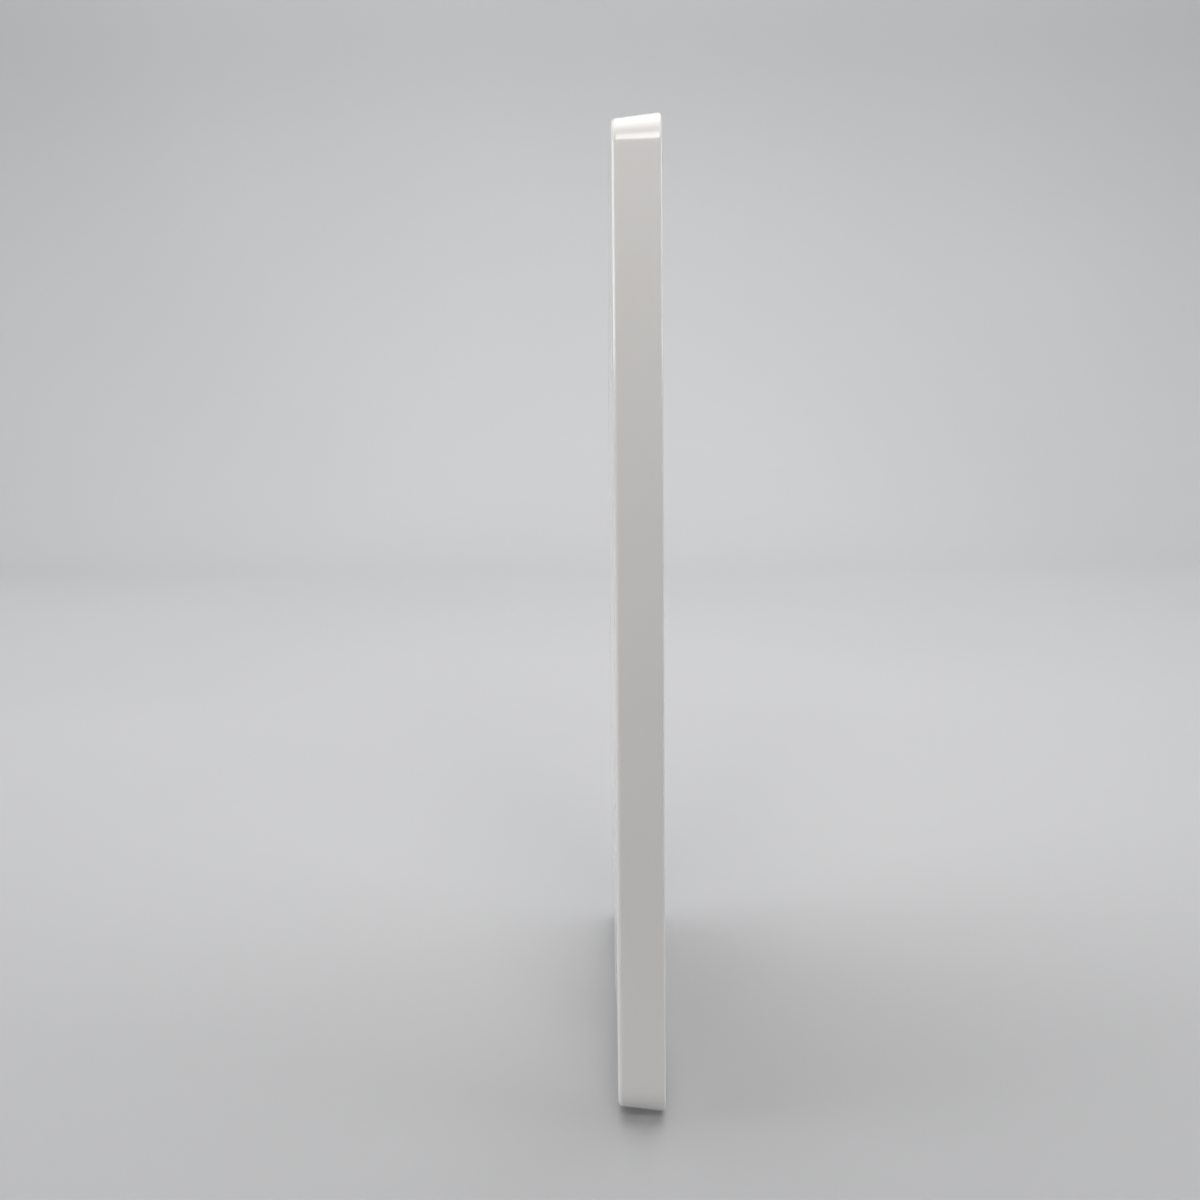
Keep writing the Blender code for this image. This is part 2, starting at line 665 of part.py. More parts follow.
def build_front_bezel():
    """The flush front frame, with screw bosses, clip bosses and the button board's ribs behind it."""
    shape = bmesh.new()
    add_plate(shape, body_outline(SIDE_WALL + GAP), 0, BEZEL_THICKNESS)
    bezel = piece("front_bezel", shape, "gloss_white")

    window = bmesh.new()
    width = ACTIVE_WIDTH - 2 * WINDOW_LAP
    height = ACTIVE_HEIGHT - 2 * WINDOW_LAP
    rings = []
    outside = (-CUT_MARGIN, CUT_MARGIN)
    inside = (BEZEL_THICKNESS + CUT_MARGIN, 0)
    for depth, grow in (outside, (0, WINDOW_CHAMFER), (WINDOW_CHAMFER, 0), inside):
        points = outline(width + 2 * grow, height + 2 * grow, WINDOW_CORNER + grow, steps=4)
        rings.append([(x, depth_y(depth), z) for x, z in points])
    add_loft(window, rings)
    combine(bezel, "window", window, "DIFFERENCE")

    bosses = bmesh.new()
    weld = BEZEL_THICKNESS - WELD
    for _, x, z in case_screw_places():
        add_post(bosses, x, z, BOSS_RADIUS, weld, REAR_BOSS_DEPTH - GAP)
    for _, x, z, _ in clip_places():
        add_post(bosses, x, z, CLIP_BOSS_RADIUS, weld, PANEL_BACK)
    for low, high in button_board_ribs():
        start = button_board_x() - GAP - RIB_WALL
        end = button_board_x() + BUTTON_BOARD_THICKNESS + GAP + RIB_WALL
        add_box(bosses, (start, end), (weld, BODY_DEPTH / 2), (low, high))
    combine(bezel, "bosses", bosses, "UNION")

    bores = bmesh.new()
    for _, x, z in case_screw_places():
        add_post(bores, x, z, SCREW_RADIUS + BORE_GAP, BEZEL_THICKNESS + GAP, REAR_BOSS_DEPTH + CUT_MARGIN)
    for _, x, z, _ in clip_places():
        add_post(bores, x, z, SCREW_RADIUS + BORE_GAP, BEZEL_THICKNESS + GAP, PANEL_BACK + CUT_MARGIN)
    for low, high in button_board_ribs():
        slot = (button_board_x() - GAP, button_board_x() + BUTTON_BOARD_THICKNESS + GAP)
        add_box(bores, slot, (BEZEL_THICKNESS + GAP, BODY_DEPTH), (low - CUT_MARGIN, high + CUT_MARGIN))
    combine(bezel, "bores", bores, "DIFFERENCE")


def add_foot_wedge(shape, x, start, end, lift, bottom):
    """A block from a flat bottom up to a seat that follows the drafted lower wall."""
    rings = []
    for edge in x:
        ring = [(edge, depth_y(start), bottom), (edge, depth_y(end), bottom)]
        for depth in (end, start):
            ring.append((edge, depth_y(depth), FOOT_STANDOFF + draft_inset(depth) + FOOT_SEAT + lift))
        rings.append(ring)
    add_loft(shape, rings)


def build_feet():
    """Two rubber wedges set in the drafted lower wall, so that the frame stands level."""
    for name, side in (("foot_left", -1), ("foot_right", 1)):
        shape = bmesh.new()
        x = side * FOOT_OFFSET
        half = FOOT_LENGTH / 2
        add_foot_wedge(shape, (x - half, x + half), FOOT_FRONT, FOOT_FRONT + FOOT_DEPTH, 0, 0)
        piece(name, shape, "rubber_grey")


def build_screw(name, x, z, head_depth, tip_depth):
    """A screw with its head towards the back and a cross recess."""
    shape = bmesh.new()
    segments = 16
    rings = []
    profile = (
        (tip_depth, SCREW_RADIUS * 0.6),
        (tip_depth + SCREW_POINT, SCREW_RADIUS),
        (head_depth, SCREW_RADIUS),
        (head_depth, SCREW_HEAD_RADIUS),
        (head_depth + SCREW_HEAD * 0.7, SCREW_HEAD_RADIUS),
        (head_depth + SCREW_HEAD, SCREW_HEAD_RADIUS * 0.75),
    )
    for depth, radius in profile:
        ring = []
        for index in range(segments):
            angle = 2 * math.pi * index / segments
            ring.append((x + radius * math.cos(angle), depth_y(depth), z + radius * math.sin(angle)))
        rings.append(ring)
    add_loft(shape, rings)
    screw = piece(name, shape, "steel")
    cross = bmesh.new()
    long, short = SCREW_HEAD_RADIUS / 2, CROSS_WIDTH / 2
    points = [
        (long, short), (short, short), (short, long), (-short, long), (-short, short), (-long, short),
        (-long, -short), (-short, -short), (-short, -long), (short, -long), (short, -short), (long, -short),
    ]
    end = head_depth + SCREW_HEAD
    add_plate(cross, [(x + dx, z + dz) for dx, dz in points], end - CROSS_DEPTH, end + CUT_MARGIN)
    combine(screw, f"{name}_recess", cross, "DIFFERENCE")


def build_case_screws():
    """The four long screws that hold the rear cover to the bezel."""
    for corner, x, z in case_screw_places():
        head = BODY_DEPTH - CASE_HEAD_RECESS - SCREW_HEAD
        build_screw(f"case_screw_{corner}", x, z, head, CASE_SCREW_TIP)


# ---------------------------------------------------------------- Display


def clip_places():
    """The four panel clips, as (name, x, z of the screw, direction away from the panel)."""
    for vertical, up, offset in (("lower", -1, LOWER_CLIP_OFFSET), ("upper", 1, UPPER_CLIP_OFFSET)):
        for side, x in (("left", -offset), ("right", offset)):
            yield f"{vertical}_{side}", x, MIDDLE + up * (PANEL_HEIGHT / 2 + CLIP_REACH), up


def build_panel():
    """The display module: touch glass, cell, film, light guide, reflector, frame and steel chassis."""
    width, height = PANEL_WIDTH, PANEL_HEIGHT

    def sheet(name, inset, start, thickness, material, lift=0):
        shape = bmesh.new()
        size = (width - 2 * inset, height - 2 * inset - lift)
        points = outline(*size, SHEET_CORNER, (0, MIDDLE + lift / 2), 2)
        add_plate(shape, points, start, start + thickness)
        piece(name, shape, material)

    sheet("touch_glass", TOUCH_GLASS_INSET, TOUCH_DEPTH, TOUCH_GLASS_THICKNESS, "dark_glass")
    sheet("lcd_cell", CELL_INSET, CELL_DEPTH, CELL_THICKNESS, "dark_glass")
    core = PANEL_STEEL + GAP + FRAME_RIB
    sheet("optical_film", core + GAP, FILM_DEPTH, FILM_THICKNESS, "clear_sheet", LED_BAY)
    sheet("light_guide", core + GAP, GUIDE_DEPTH, GUIDE_THICKNESS, "clear_sheet", LED_BAY)
    sheet("reflector_sheet", core + GAP, REFLECTOR_DEPTH, REFLECTOR_THICKNESS, "silver_film", LED_BAY)

    ring = bmesh.new()
    inset = PANEL_STEEL + GAP
    points = outline(width - 2 * inset, height - 2 * inset, SHEET_CORNER, steps=2)
    add_plate(ring, points, FILM_DEPTH, CHASSIS_DEPTH - SHEET_GAP)
    frame = piece("panel_frame", ring, "white_plastic")
    opening = bmesh.new()
    points = outline(width - 2 * core, height - 2 * core, SHEET_CORNER, steps=2)
    add_plate(opening, points, FILM_DEPTH - CUT_MARGIN, CHASSIS_DEPTH + CUT_MARGIN)
    combine(frame, "frame_opening", opening, "DIFFERENCE")

    tray = bmesh.new()
    add_plate(tray, outline(width, height, CHASSIS_CORNER, steps=2), CELL_DEPTH, PANEL_BACK)
    chassis = piece("panel_chassis", tray, "steel")
    hollow = bmesh.new()
    inner = (width - 2 * PANEL_STEEL, height - 2 * PANEL_STEEL)
    points = outline(*inner, CHASSIS_CORNER - PANEL_STEEL, steps=2)
    add_plate(hollow, points, CELL_DEPTH - CUT_MARGIN, CHASSIS_DEPTH)
    combine(chassis, "chassis_hollow", hollow, "DIFFERENCE")
    posts = bmesh.new()
    for _, x, z in board_screw_places():
        add_post(posts, x, z, STANDOFF_RADIUS, PANEL_BACK - PANEL_STEEL / 2, PANEL_BACK + BOARD_STANDOFF)
    combine(chassis, "board_standoffs", posts, "UNION")
    threads = bmesh.new()
    for _, x, z in board_screw_places():
        add_post(threads, x, z, SCREW_RADIUS + BORE_GAP, CHASSIS_DEPTH - CUT_MARGIN, BOARD_DEPTH)
    combine(chassis, "standoff_threads", threads, "DIFFERENCE")

    # The light bar lies in the bay below the light guide, with its lamps facing up
    bar = bmesh.new()
    low = MIDDLE - height / 2 + core + GAP
    half = width / 2 - core - GAP
    add_box(bar, (-half, half), (GUIDE_DEPTH, GUIDE_DEPTH + GUIDE_THICKNESS), (low, low + LED_BAR))
    strip = piece("led_strip", bar, "white_plastic")
    lamps = bmesh.new()
    pitch = 2 * half / LED_COUNT
    for index in range(LED_COUNT):
        x = -half + (index + 0.5) * pitch
        depths = (GUIDE_DEPTH + LED_STEP, GUIDE_DEPTH + GUIDE_THICKNESS - LED_STEP)
        top = low + LED_BAY - GAP
        add_box(lamps, (x - LED_SIZE / 2, x + LED_SIZE / 2), depths, (low + LED_BAR / 2, top))
    combine(strip, "lamps", lamps, "UNION")


def build_clips():
    """Steel clips that hold the panel to the bezel, each with its screw."""
    for place, x, z, up in clip_places():
        shape = bmesh.new()
        start = PANEL_BACK + GAP
        edge = MIDDLE + up * (PANEL_HEIGHT / 2 - CLIP_LAP)
        far = z + up * CLIP_BOSS_RADIUS
        span = (min(edge, far), max(edge, far))
        points = outline(CLIP_WIDTH, span[1] - span[0], CLIP_CORNER, (x, sum(span) / 2), 2)
        add_plate(shape, points, start, start + CLIP_THICKNESS)
        clip = piece(f"panel_clip_{place}", shape, "steel")
        hole = bmesh.new()
        ends = (start - CUT_MARGIN, start + CLIP_THICKNESS + CUT_MARGIN)
        add_post(hole, x, z, SCREW_RADIUS + BORE_GAP, *ends)
        combine(clip, f"clip_hole_{place}", hole, "DIFFERENCE")
        build_screw(f"clip_screw_{place}", x, z, start + CLIP_THICKNESS + SHEET_GAP, CLIP_SCREW_TIP)


# ---------------------------------------------------------------- Electronics


def board_right():
    """The board's right-hand edge, just inside the side wall."""
    return wall_x(PART_DEPTH + CARD_THICKNESS) - SIDE_WALL - GAP


def board_screw_places():
    """The four board screws, as (name, x, z)."""
    left = BOARD_LEFT + BOARD_SCREW_INSET
    right = PANEL_WIDTH / 2 - STANDOFF_RADIUS - GAP
    low, high = BOARD_BOTTOM + BOARD_SCREW_INSET, BOARD_TOP - BOARD_SCREW_INSET
    for vertical, z in (("lower", low), ("upper", high)):
        for side, x in (("left", left), ("right", right)):
            yield f"{vertical}_{side}", x, MIDDLE + z


def build_board():
    """The main board with its shielded processor, radio, backup cell, connectors and screws."""
    shape = bmesh.new()
    right = board_right()
    heights = (MIDDLE + BOARD_BOTTOM, MIDDLE + BOARD_TOP)
    add_box(shape, (BOARD_LEFT, right), (BOARD_DEPTH, BOARD_REAR), heights)
    board = piece("main_board", shape, "board_green")
    holes = bmesh.new()
    for _, x, z in board_screw_places():
        add_post(holes, x, z, SCREW_RADIUS + BORE_GAP, BOARD_DEPTH - CUT_MARGIN, BOARD_REAR + CUT_MARGIN)
    usb_half = USB_WIDTH / 2 + GAP
    low, high = MIDDLE + USB_HEIGHT - usb_half, MIDDLE + USB_HEIGHT + usb_half
    cut_depths = (BOARD_DEPTH - CUT_MARGIN, BOARD_REAR + CUT_MARGIN)
    add_box(holes, (right - USB_LENGTH - GAP, right + CUT_MARGIN), cut_depths, (low, high))
    combine(board, "board_cuts", holes, "DIFFERENCE")
    for place, x, z in board_screw_places():
        build_screw(f"board_screw_{place}", x, z, BOARD_REAR + SHEET_GAP, CHASSIS_DEPTH + GAP)

    def chip(name, centre, size, thickness, material):
        shape = bmesh.new()
        points = outline(*size, CHIP_CORNER, (centre[0], MIDDLE + centre[1]), 1)
        add_plate(shape, points, PART_DEPTH, PART_DEPTH + thickness)
        piece(name, shape, material)

    chip("processor", PROCESSOR_PLACE, (PROCESSOR_SIZE, PROCESSOR_SIZE), PROCESSOR_HEIGHT, "chip_black")
    chip("wifi_module", RADIO_PLACE, (RADIO_SIZE, RADIO_SIZE), RADIO_HEIGHT, "steel")
    chip("display_connector", PLUG_PLACE, PLUG_SIZE, PLUG_HEIGHT, "white_plastic")

    can = bmesh.new()
    middle = (PROCESSOR_PLACE[0], MIDDLE + PROCESSOR_PLACE[1])
    outer = outline(SHIELD_SIZE, SHIELD_SIZE, SHIELD_CORNER, middle, 2)
    add_plate(can, outer, PART_DEPTH, PART_DEPTH + SHIELD_HEIGHT)
    shield = piece("shield_can", can, "steel")
    inner = bmesh.new()
    size = SHIELD_SIZE - 2 * SHIELD_SHEET
    points = outline(size, size, SHIELD_CORNER - SHIELD_SHEET, middle, 2)
    add_plate(inner, points, PART_DEPTH - CUT_MARGIN, PART_DEPTH + SHIELD_HEIGHT - SHIELD_SHEET)
    combine(shield, "can_hollow", inner, "DIFFERENCE")

    cell = bmesh.new()
    x, z = BACKUP_PLACE
    add_post(cell, x, MIDDLE + z, BACKUP_RADIUS, PART_DEPTH, PART_DEPTH + BACKUP_HEIGHT, 20)
    piece("backup_cell", cell, "steel")


def build_sockets():
    """The USB-C power inlet, through a notch in the board, and the memory-card socket."""
    right = board_right()
    depth = BOARD_DEPTH + BOARD_THICKNESS / 2
    z = MIDDLE + USB_HEIGHT
    shape = bmesh.new()
    add_stadium(shape, (right - USB_LENGTH, right), depth, z, USB_THICKNESS, USB_WIDTH)
    socket = piece("usb_c_socket", shape, "steel")
    mouth = bmesh.new()
    bore = (right - USB_LENGTH + USB_END_WALL, right + CUT_MARGIN)
    add_stadium(mouth, bore, depth, z, USB_THICKNESS - 2 * USB_SHELL, USB_WIDTH - 2 * USB_SHELL)
    combine(socket, "usb_mouth", mouth, "DIFFERENCE")
    tongue = bmesh.new()
    half = USB_TONGUE / 2
    span = (right - USB_LENGTH + WELD, right - USB_TONGUE_SETBACK)
    wide = USB_TONGUE_WIDTH / 2
    add_box(tongue, span, (depth - half, depth + half), (z - wide, z + wide))
    combine(socket, "usb_tongue", tongue, "UNION")

    card = bmesh.new()
    z = MIDDLE + CARD_HEIGHT
    half = CARD_WIDTH / 2
    depths = (PART_DEPTH, PART_DEPTH + CARD_THICKNESS)
    add_box(card, (right - CARD_LENGTH, right), depths, (z - half, z + half))
    holder = piece("card_socket", card, "steel")
    slot = bmesh.new()
    middle = PART_DEPTH + CARD_THICKNESS / 2
    half = CARD_SLOT_WIDTH / 2 - GAP
    depths = (middle - CARD_SLOT_DEPTH / 2, middle + CARD_SLOT_DEPTH / 2)
    add_box(slot, (right - CARD_LENGTH + CARD_END_WALL, right + CUT_MARGIN), depths, (z - half, z + half))
    combine(holder, "card_slot", slot, "DIFFERENCE")


def build_ribbons():
    """The display and touch flat cables, folded round the top edge of the panel to the board."""
    edge = PANEL_HEIGHT / 2
    lcd = [(edge + 0.4 * MM, CELL_DEPTH + 0.4 * MM), (edge + 1.5 * MM, CELL_DEPTH + 0.8 * MM)]
    touch = [(edge - 0.6 * MM, TOUCH_DEPTH + 0.2 * MM), (edge + 1.3 * MM, TOUCH_DEPTH + 0.6 * MM)]
    rest = [(edge + 2 * MM, PANEL_BACK - 1 * MM), (edge + 1.6 * MM, PART_DEPTH - 0.4 * MM)]
    down = [(BOARD_TOP + 3 * MM, PART_DEPTH + 0.5 * MM), (BOARD_TOP - 1 * MM, PART_DEPTH + 0.3 * MM)]
    lift = 0.3 * MM
    ribbons = (
        ("display_cable", (51 * MM, 68 * MM), lcd, BOARD_TOP - 6 * MM),
        ("touch_cable", (34 * MM, 39.5 * MM), touch, BOARD_TOP - 8 * MM),
    )
    for name, x, start, end in ribbons:
        profile = start + rest + down + [(end, PART_DEPTH + lift)]
        ribbon(name, x, [(MIDDLE + z, depth) for z, depth in profile], RIBBON_THICKNESS, "flex_amber")


def build_speakers():
    """Two slim speakers below the panel and their leads along the sides to the board."""
    z = speaker_middle()
    for name, side in (("left", -1), ("right", 1)):
        shape = bmesh.new()
        x = side * SPEAKER_OFFSET
        points = outline(SPEAKER_LENGTH, SPEAKER_HEIGHT, SPEAKER_CORNER, (x, z), 3)
        add_plate(shape, points, BACK_INNER - GAP - SPEAKER_DEPTH, BACK_INNER - GAP)
        piece(f"speaker_{name}", shape, "chip_black")
    rim = PANEL_WIDTH / 2 + GAP + LEAD_RADIUS + 0.5 * MM
    y = depth_y(PANEL_BACK + 1 * MM)
    back = depth_y(PART_DEPTH + LEAD_RADIUS)
    low = MIDDLE - PANEL_HEIGHT / 2 + 2 * MM
    start = SPEAKER_OFFSET + SPEAKER_LENGTH / 2 + GAP
    right = [
        (start, y, z), (start + 3 * MM, y, z + 1 * MM), (rim - 2 * MM, y, low - 3 * MM),
        (rim - 0.4 * MM, y, low), (rim, y, low + 6 * MM), (rim, y, MIDDLE - 60 * MM),
        (rim, y, MIDDLE), (rim - 1 * MM, y, MIDDLE + BOARD_BOTTOM - 12 * MM),
        (rim - 4 * MM, back, MIDDLE + BOARD_BOTTOM - 2 * MM),
        (rim - 5 * MM, back, MIDDLE + BOARD_BOTTOM + 2 * MM),
    ]
    cross = MIDDLE + BOARD_BOTTOM + 9 * MM
    left = [(-x, y, z) for x, y, z in right[:7]] + [
        (-rim, y, MIDDLE + BOARD_BOTTOM - 12 * MM),
        (-rim + 2 * MM, y, cross - 4 * MM), (-rim + 8 * MM, y, cross),
        (-20 * MM, y, cross), (BOARD_LEFT - 8 * MM, y, cross), (BOARD_LEFT - 2 * MM, back, cross),
        (BOARD_LEFT + 2 * MM, back, cross),
    ]
    cable("speaker_lead_right", right, LEAD_RADIUS, "cable_black")
    cable("speaker_lead_left", left, LEAD_RADIUS, "cable_black")


def build_antenna():
    """The radio antenna on the left of the rear cover and its thin coaxial lead."""
    shape = bmesh.new()
    x = -wall_x(BACK_INNER) + SIDE_WALL + GAP + ANTENNA_WIDTH / 2
    z = MIDDLE + ANTENNA_HEIGHT
    depths = (BACK_INNER - GAP - ANTENNA_THICKNESS, BACK_INNER - GAP)
    half = ANTENNA_LENGTH / 2
    add_box(shape, (x - ANTENNA_WIDTH / 2, x + ANTENNA_WIDTH / 2), depths, (z - half, z + half))
    piece("antenna", shape, "board_green")
    y = depth_y(PART_DEPTH + LEAD_RADIUS)
    high = z + half - 4 * MM
    points = [
        (x + ANTENNA_WIDTH / 2 + 0.4 * MM, y, high), (x + 10 * MM, y, high + 0.5 * MM), (-40 * MM, y, high),
        (-10 * MM, y, high - 2 * MM), (10 * MM, y, high - 4 * MM),
        (BOARD_LEFT + 1.5 * MM, y, MIDDLE + 84 * MM),
    ]
    cable("antenna_lead", points, ANTENNA_LEAD_RADIUS, "cable_black")


# ---------------------------------------------------------------- Side buttons


def flange_x():
    """The inner face of a button's flange at rest."""
    return wall_x(BUTTON_DEPTH + BUTTON_THICKNESS) - SIDE_WALL - GAP - FLANGE_THICKNESS


def button_board_x():
    """The left face of the small board behind the buttons."""
    plunger = flange_x() - BUTTON_TRAVEL - PRESS_GAP
    return plunger - PLUNGER_HEIGHT - SWITCH_THICKNESS - SHEET_GAP - BUTTON_BOARD_THICKNESS


def button_board_span():
    """The lowest and highest height of the button board."""
    lows, highs = zip(*(button_span(name) for name in BUTTON_HEIGHTS))
    return min(lows) - BUTTON_BOARD_MARGIN, max(highs) + BUTTON_BOARD_MARGIN


def button_board_ribs():
    """Two slotted ribs of the bezel that hold the button board's ends."""
    low, high = button_board_span()
    reach = RIB_INSET + RIB_LENGTH
    return (low + RIB_INSET, low + reach), (high - reach, high - RIB_INSET)


def build_buttons():
    """Three sprung caps in the right-hand wall, their switches, the board and its cable."""
    board = bmesh.new()
    low, high = button_board_span()
    left = button_board_x()
    right = left + BUTTON_BOARD_THICKNESS
    depths = (BEZEL_THICKNESS + 2 * GAP, BACK_INNER - GAP)
    add_box(board, (left, right), depths, (low, high))
    piece("button_board", board, "board_green")
    for name in BUTTON_HEIGHTS:
        low, high = button_span(name)
        middle = (low + high) / 2
        cap = bmesh.new()
        inner = flange_x()
        outer = wall_x(BUTTON_DEPTH) + BUTTON_PROUD
        origin = (outer, depth_y(BUTTON_DEPTH), middle)
        ends = (inner + FLANGE_THICKNESS / 2, outer)
        add_stadium(cap, ends, BUTTON_DEPTH, middle, BUTTON_THICKNESS, high - low)
        button = piece(name, cap, "white_plastic", origin)
        flange = bmesh.new()
        wide, long = BUTTON_THICKNESS + 2 * FLANGE_LIP, high - low + 2 * FLANGE_LIP
        add_stadium(flange, (inner, inner + FLANGE_THICKNESS), BUTTON_DEPTH, middle, wide, long)
        combine(button, f"{name}_flange", flange, "UNION")

        switch = bmesh.new()
        half = SWITCH_SIZE / 2
        base = right + SHEET_GAP
        depths = (BUTTON_DEPTH - half, BUTTON_DEPTH + half)
        add_box(switch, (base, base + SWITCH_THICKNESS), depths, (middle - half, middle + half))
        body = piece(name.replace("button", "switch"), switch, "steel")
        plunger = bmesh.new()
        place = (base + SWITCH_THICKNESS / 2, depth_y(BUTTON_DEPTH), middle)
        add_cylinder(plunger, place, (1, 0, 0), PLUNGER_RADIUS, SWITCH_THICKNESS / 2 + PLUNGER_HEIGHT, 12)
        combine(body, f"{name}_plunger", plunger, "UNION")
    top = button_board_span()[1]
    x = left - LEAD_RADIUS - SHEET_GAP
    y = depth_y(BACK_INNER - 1.6 * MM)
    back = depth_y(PART_DEPTH + LEAD_RADIUS)
    points = [
        (x, y, top - 2 * MM), (x, y, top + 4 * MM), (x - 0.5 * MM, y, MIDDLE + 20 * MM),
        (x - 1 * MM, back, MIDDLE + BOARD_BOTTOM - 4 * MM),
        (x - 1 * MM, back, MIDDLE + BOARD_BOTTOM + 2 * MM),
    ]
    cable("button_lead", points, LEAD_RADIUS, "cable_black")


# ---------------------------------------------------------------- Kickstand and hanger


def leg_thickness(height):
    """How thick the leg is at a height: it thins towards its tip as the domed back falls away."""
    return LEG_THICKNESS - LEG_TAPER * (HINGE_HEIGHT - height) / (HINGE_HEIGHT - LEG_TIP)


def build_kickstand():
    """The folding leg, its hinge pin, friction washers and rubber tip."""
    axis = (0, depth_y(BARREL_DEPTH), HINGE_HEIGHT)
    leg = bmesh.new()
    top = HINGE_HEIGHT - BARREL_RADIUS - GAP
    points = outline(LEG_WIDTH, top - LEG_TIP, LEG_CORNER, (0, (LEG_TIP + top) / 2), 4)
    inner = [(x, depth_y(LEG_DEPTH), z) for x, z in points]
    outer = [(x, depth_y(LEG_DEPTH + leg_thickness(z)), z) for x, z in points]
    add_loft(leg, [inner, outer])
    stand = piece("kickstand", leg, "gloss_white", axis)
    neck = bmesh.new()
    half = BARREL_HALF
    depths = (LEG_DEPTH, LEG_DEPTH + LEG_THICKNESS)
    add_box(neck, (-half + WELD, half - WELD), depths, (top - WELD, HINGE_HEIGHT))
    combine(stand, "leg_neck", neck, "UNION")
    barrel = bmesh.new()
    add_cylinder(barrel, (-half, axis[1], HINGE_HEIGHT), (1, 0, 0), BARREL_RADIUS, 2 * half, 24)
    combine(stand, "leg_barrel", barrel, "UNION")
    bore = bmesh.new()
    add_cylinder(bore, (-2 * half, axis[1], HINGE_HEIGHT), (1, 0, 0), PIN_RADIUS + BORE_GAP, 4 * half, 12)
    combine(stand, "barrel_bore", bore, "DIFFERENCE")

    pin = bmesh.new()
    reach = POCKET_HALF + PIN_REACH
    add_cylinder(pin, (-reach, axis[1], HINGE_HEIGHT), (1, 0, 0), PIN_RADIUS, 2 * reach, 12)
    piece("hinge_pin", pin, "steel", axis)

    for name, side in (("left", -1), ("right", 1)):
        ring = bmesh.new()
        middle = side * (half + POCKET_HALF) / 2
        start = middle - WASHER_THICKNESS / 2
        add_cylinder(ring, (start, axis[1], HINGE_HEIGHT), (1, 0, 0), WASHER_RADIUS, WASHER_THICKNESS, 20)
        washer = piece(f"hinge_washer_{name}", ring, "steel", axis)
        hole = bmesh.new()
        place = (start - CUT_MARGIN, axis[1], HINGE_HEIGHT)
        add_cylinder(hole, place, (1, 0, 0), PIN_RADIUS + BORE_GAP, WASHER_THICKNESS + 2 * CUT_MARGIN, 12)
        combine(washer, f"washer_hole_{name}", hole, "DIFFERENCE")

    pad = bmesh.new()
    width = LEG_WIDTH - 2 * LEG_CORNER
    span = (LEG_TIP - GAP - PAD_HEIGHT, LEG_TIP - GAP)
    points = outline(width, PAD_HEIGHT, PAD_CORNER, (0, sum(span) / 2), 3)
    add_plate(pad, points, LEG_DEPTH + PAD_SETBACK, LEG_DEPTH + leg_thickness(LEG_TIP) - PAD_SETBACK)
    piece("kickstand_pad", pad, "rubber_grey", axis)


def keyhole_span():
    """The height of the keyhole's round hole and of the top of its slot."""
    low = (HANGER_BOTTOM + HANGER_TOP) / 2 - KEYHOLE_RISE / 2
    return low - KEYHOLE_RADIUS, low + KEYHOLE_RISE


def build_hanger():
    """The steel wall-hanging plate with its keyhole, sunk a little into the back."""
    shape = bmesh.new()
    middle = (0, (HANGER_BOTTOM + HANGER_TOP) / 2)
    start = HANGER_DEPTH
    points = outline(HANGER_WIDTH, HANGER_TOP - HANGER_BOTTOM, HANGER_CORNER, middle, 4)
    add_plate(shape, points, start, start + HANGER_THICKNESS)
    plate = piece("hanger_plate", shape, "steel")
    low, high = keyhole_span()
    ends = (start - CUT_MARGIN, start + HANGER_THICKNESS + CUT_MARGIN)
    hole = bmesh.new()
    add_post(hole, 0, low + KEYHOLE_RADIUS, KEYHOLE_RADIUS, *ends, 24)
    combine(plate, "keyhole_round", hole, "DIFFERENCE")
    slot = bmesh.new()
    bottom = low + KEYHOLE_RADIUS
    middle = (0, (high + bottom) / 2)
    length = high - bottom + KEYHOLE_SLOT
    add_plate(slot, outline(KEYHOLE_SLOT, length, KEYHOLE_SLOT / 2 - END_FLAT, middle, 4), *ends)
    combine(plate, "keyhole_slot", slot, "DIFFERENCE")


# ---------------------------------------------------------------- Assembly

for old in list(bpy.data.objects):
    bpy.data.objects.remove(old, do_unlink=True)

MATERIALS = {name: make_material(name) for name in COLOURS}

build_rear_cover()
build_front_bezel()
build_feet()
build_case_screws()
build_panel()
build_clips()
build_board()
build_sockets()
build_ribbons()
build_speakers()
build_antenna()
build_buttons()
build_kickstand()
build_hanger()

# Even shading on the flat faces between the cuts
for part in bpy.data.objects:
    if part.modifiers:
        part.modifiers.new("even_shading", "WEIGHTED_NORMAL")
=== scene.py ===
"""Looks of the slim digital photo frame: fine casing pieces, materials, light and camera.

Everything is in metres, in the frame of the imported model: the picture faces -Y, the back +Y,
and the buttons and sockets are in the +X wall. Depths are measured from the front face.
"""
import json
import math

import bmesh
import bpy
from mathutils import Matrix, Vector


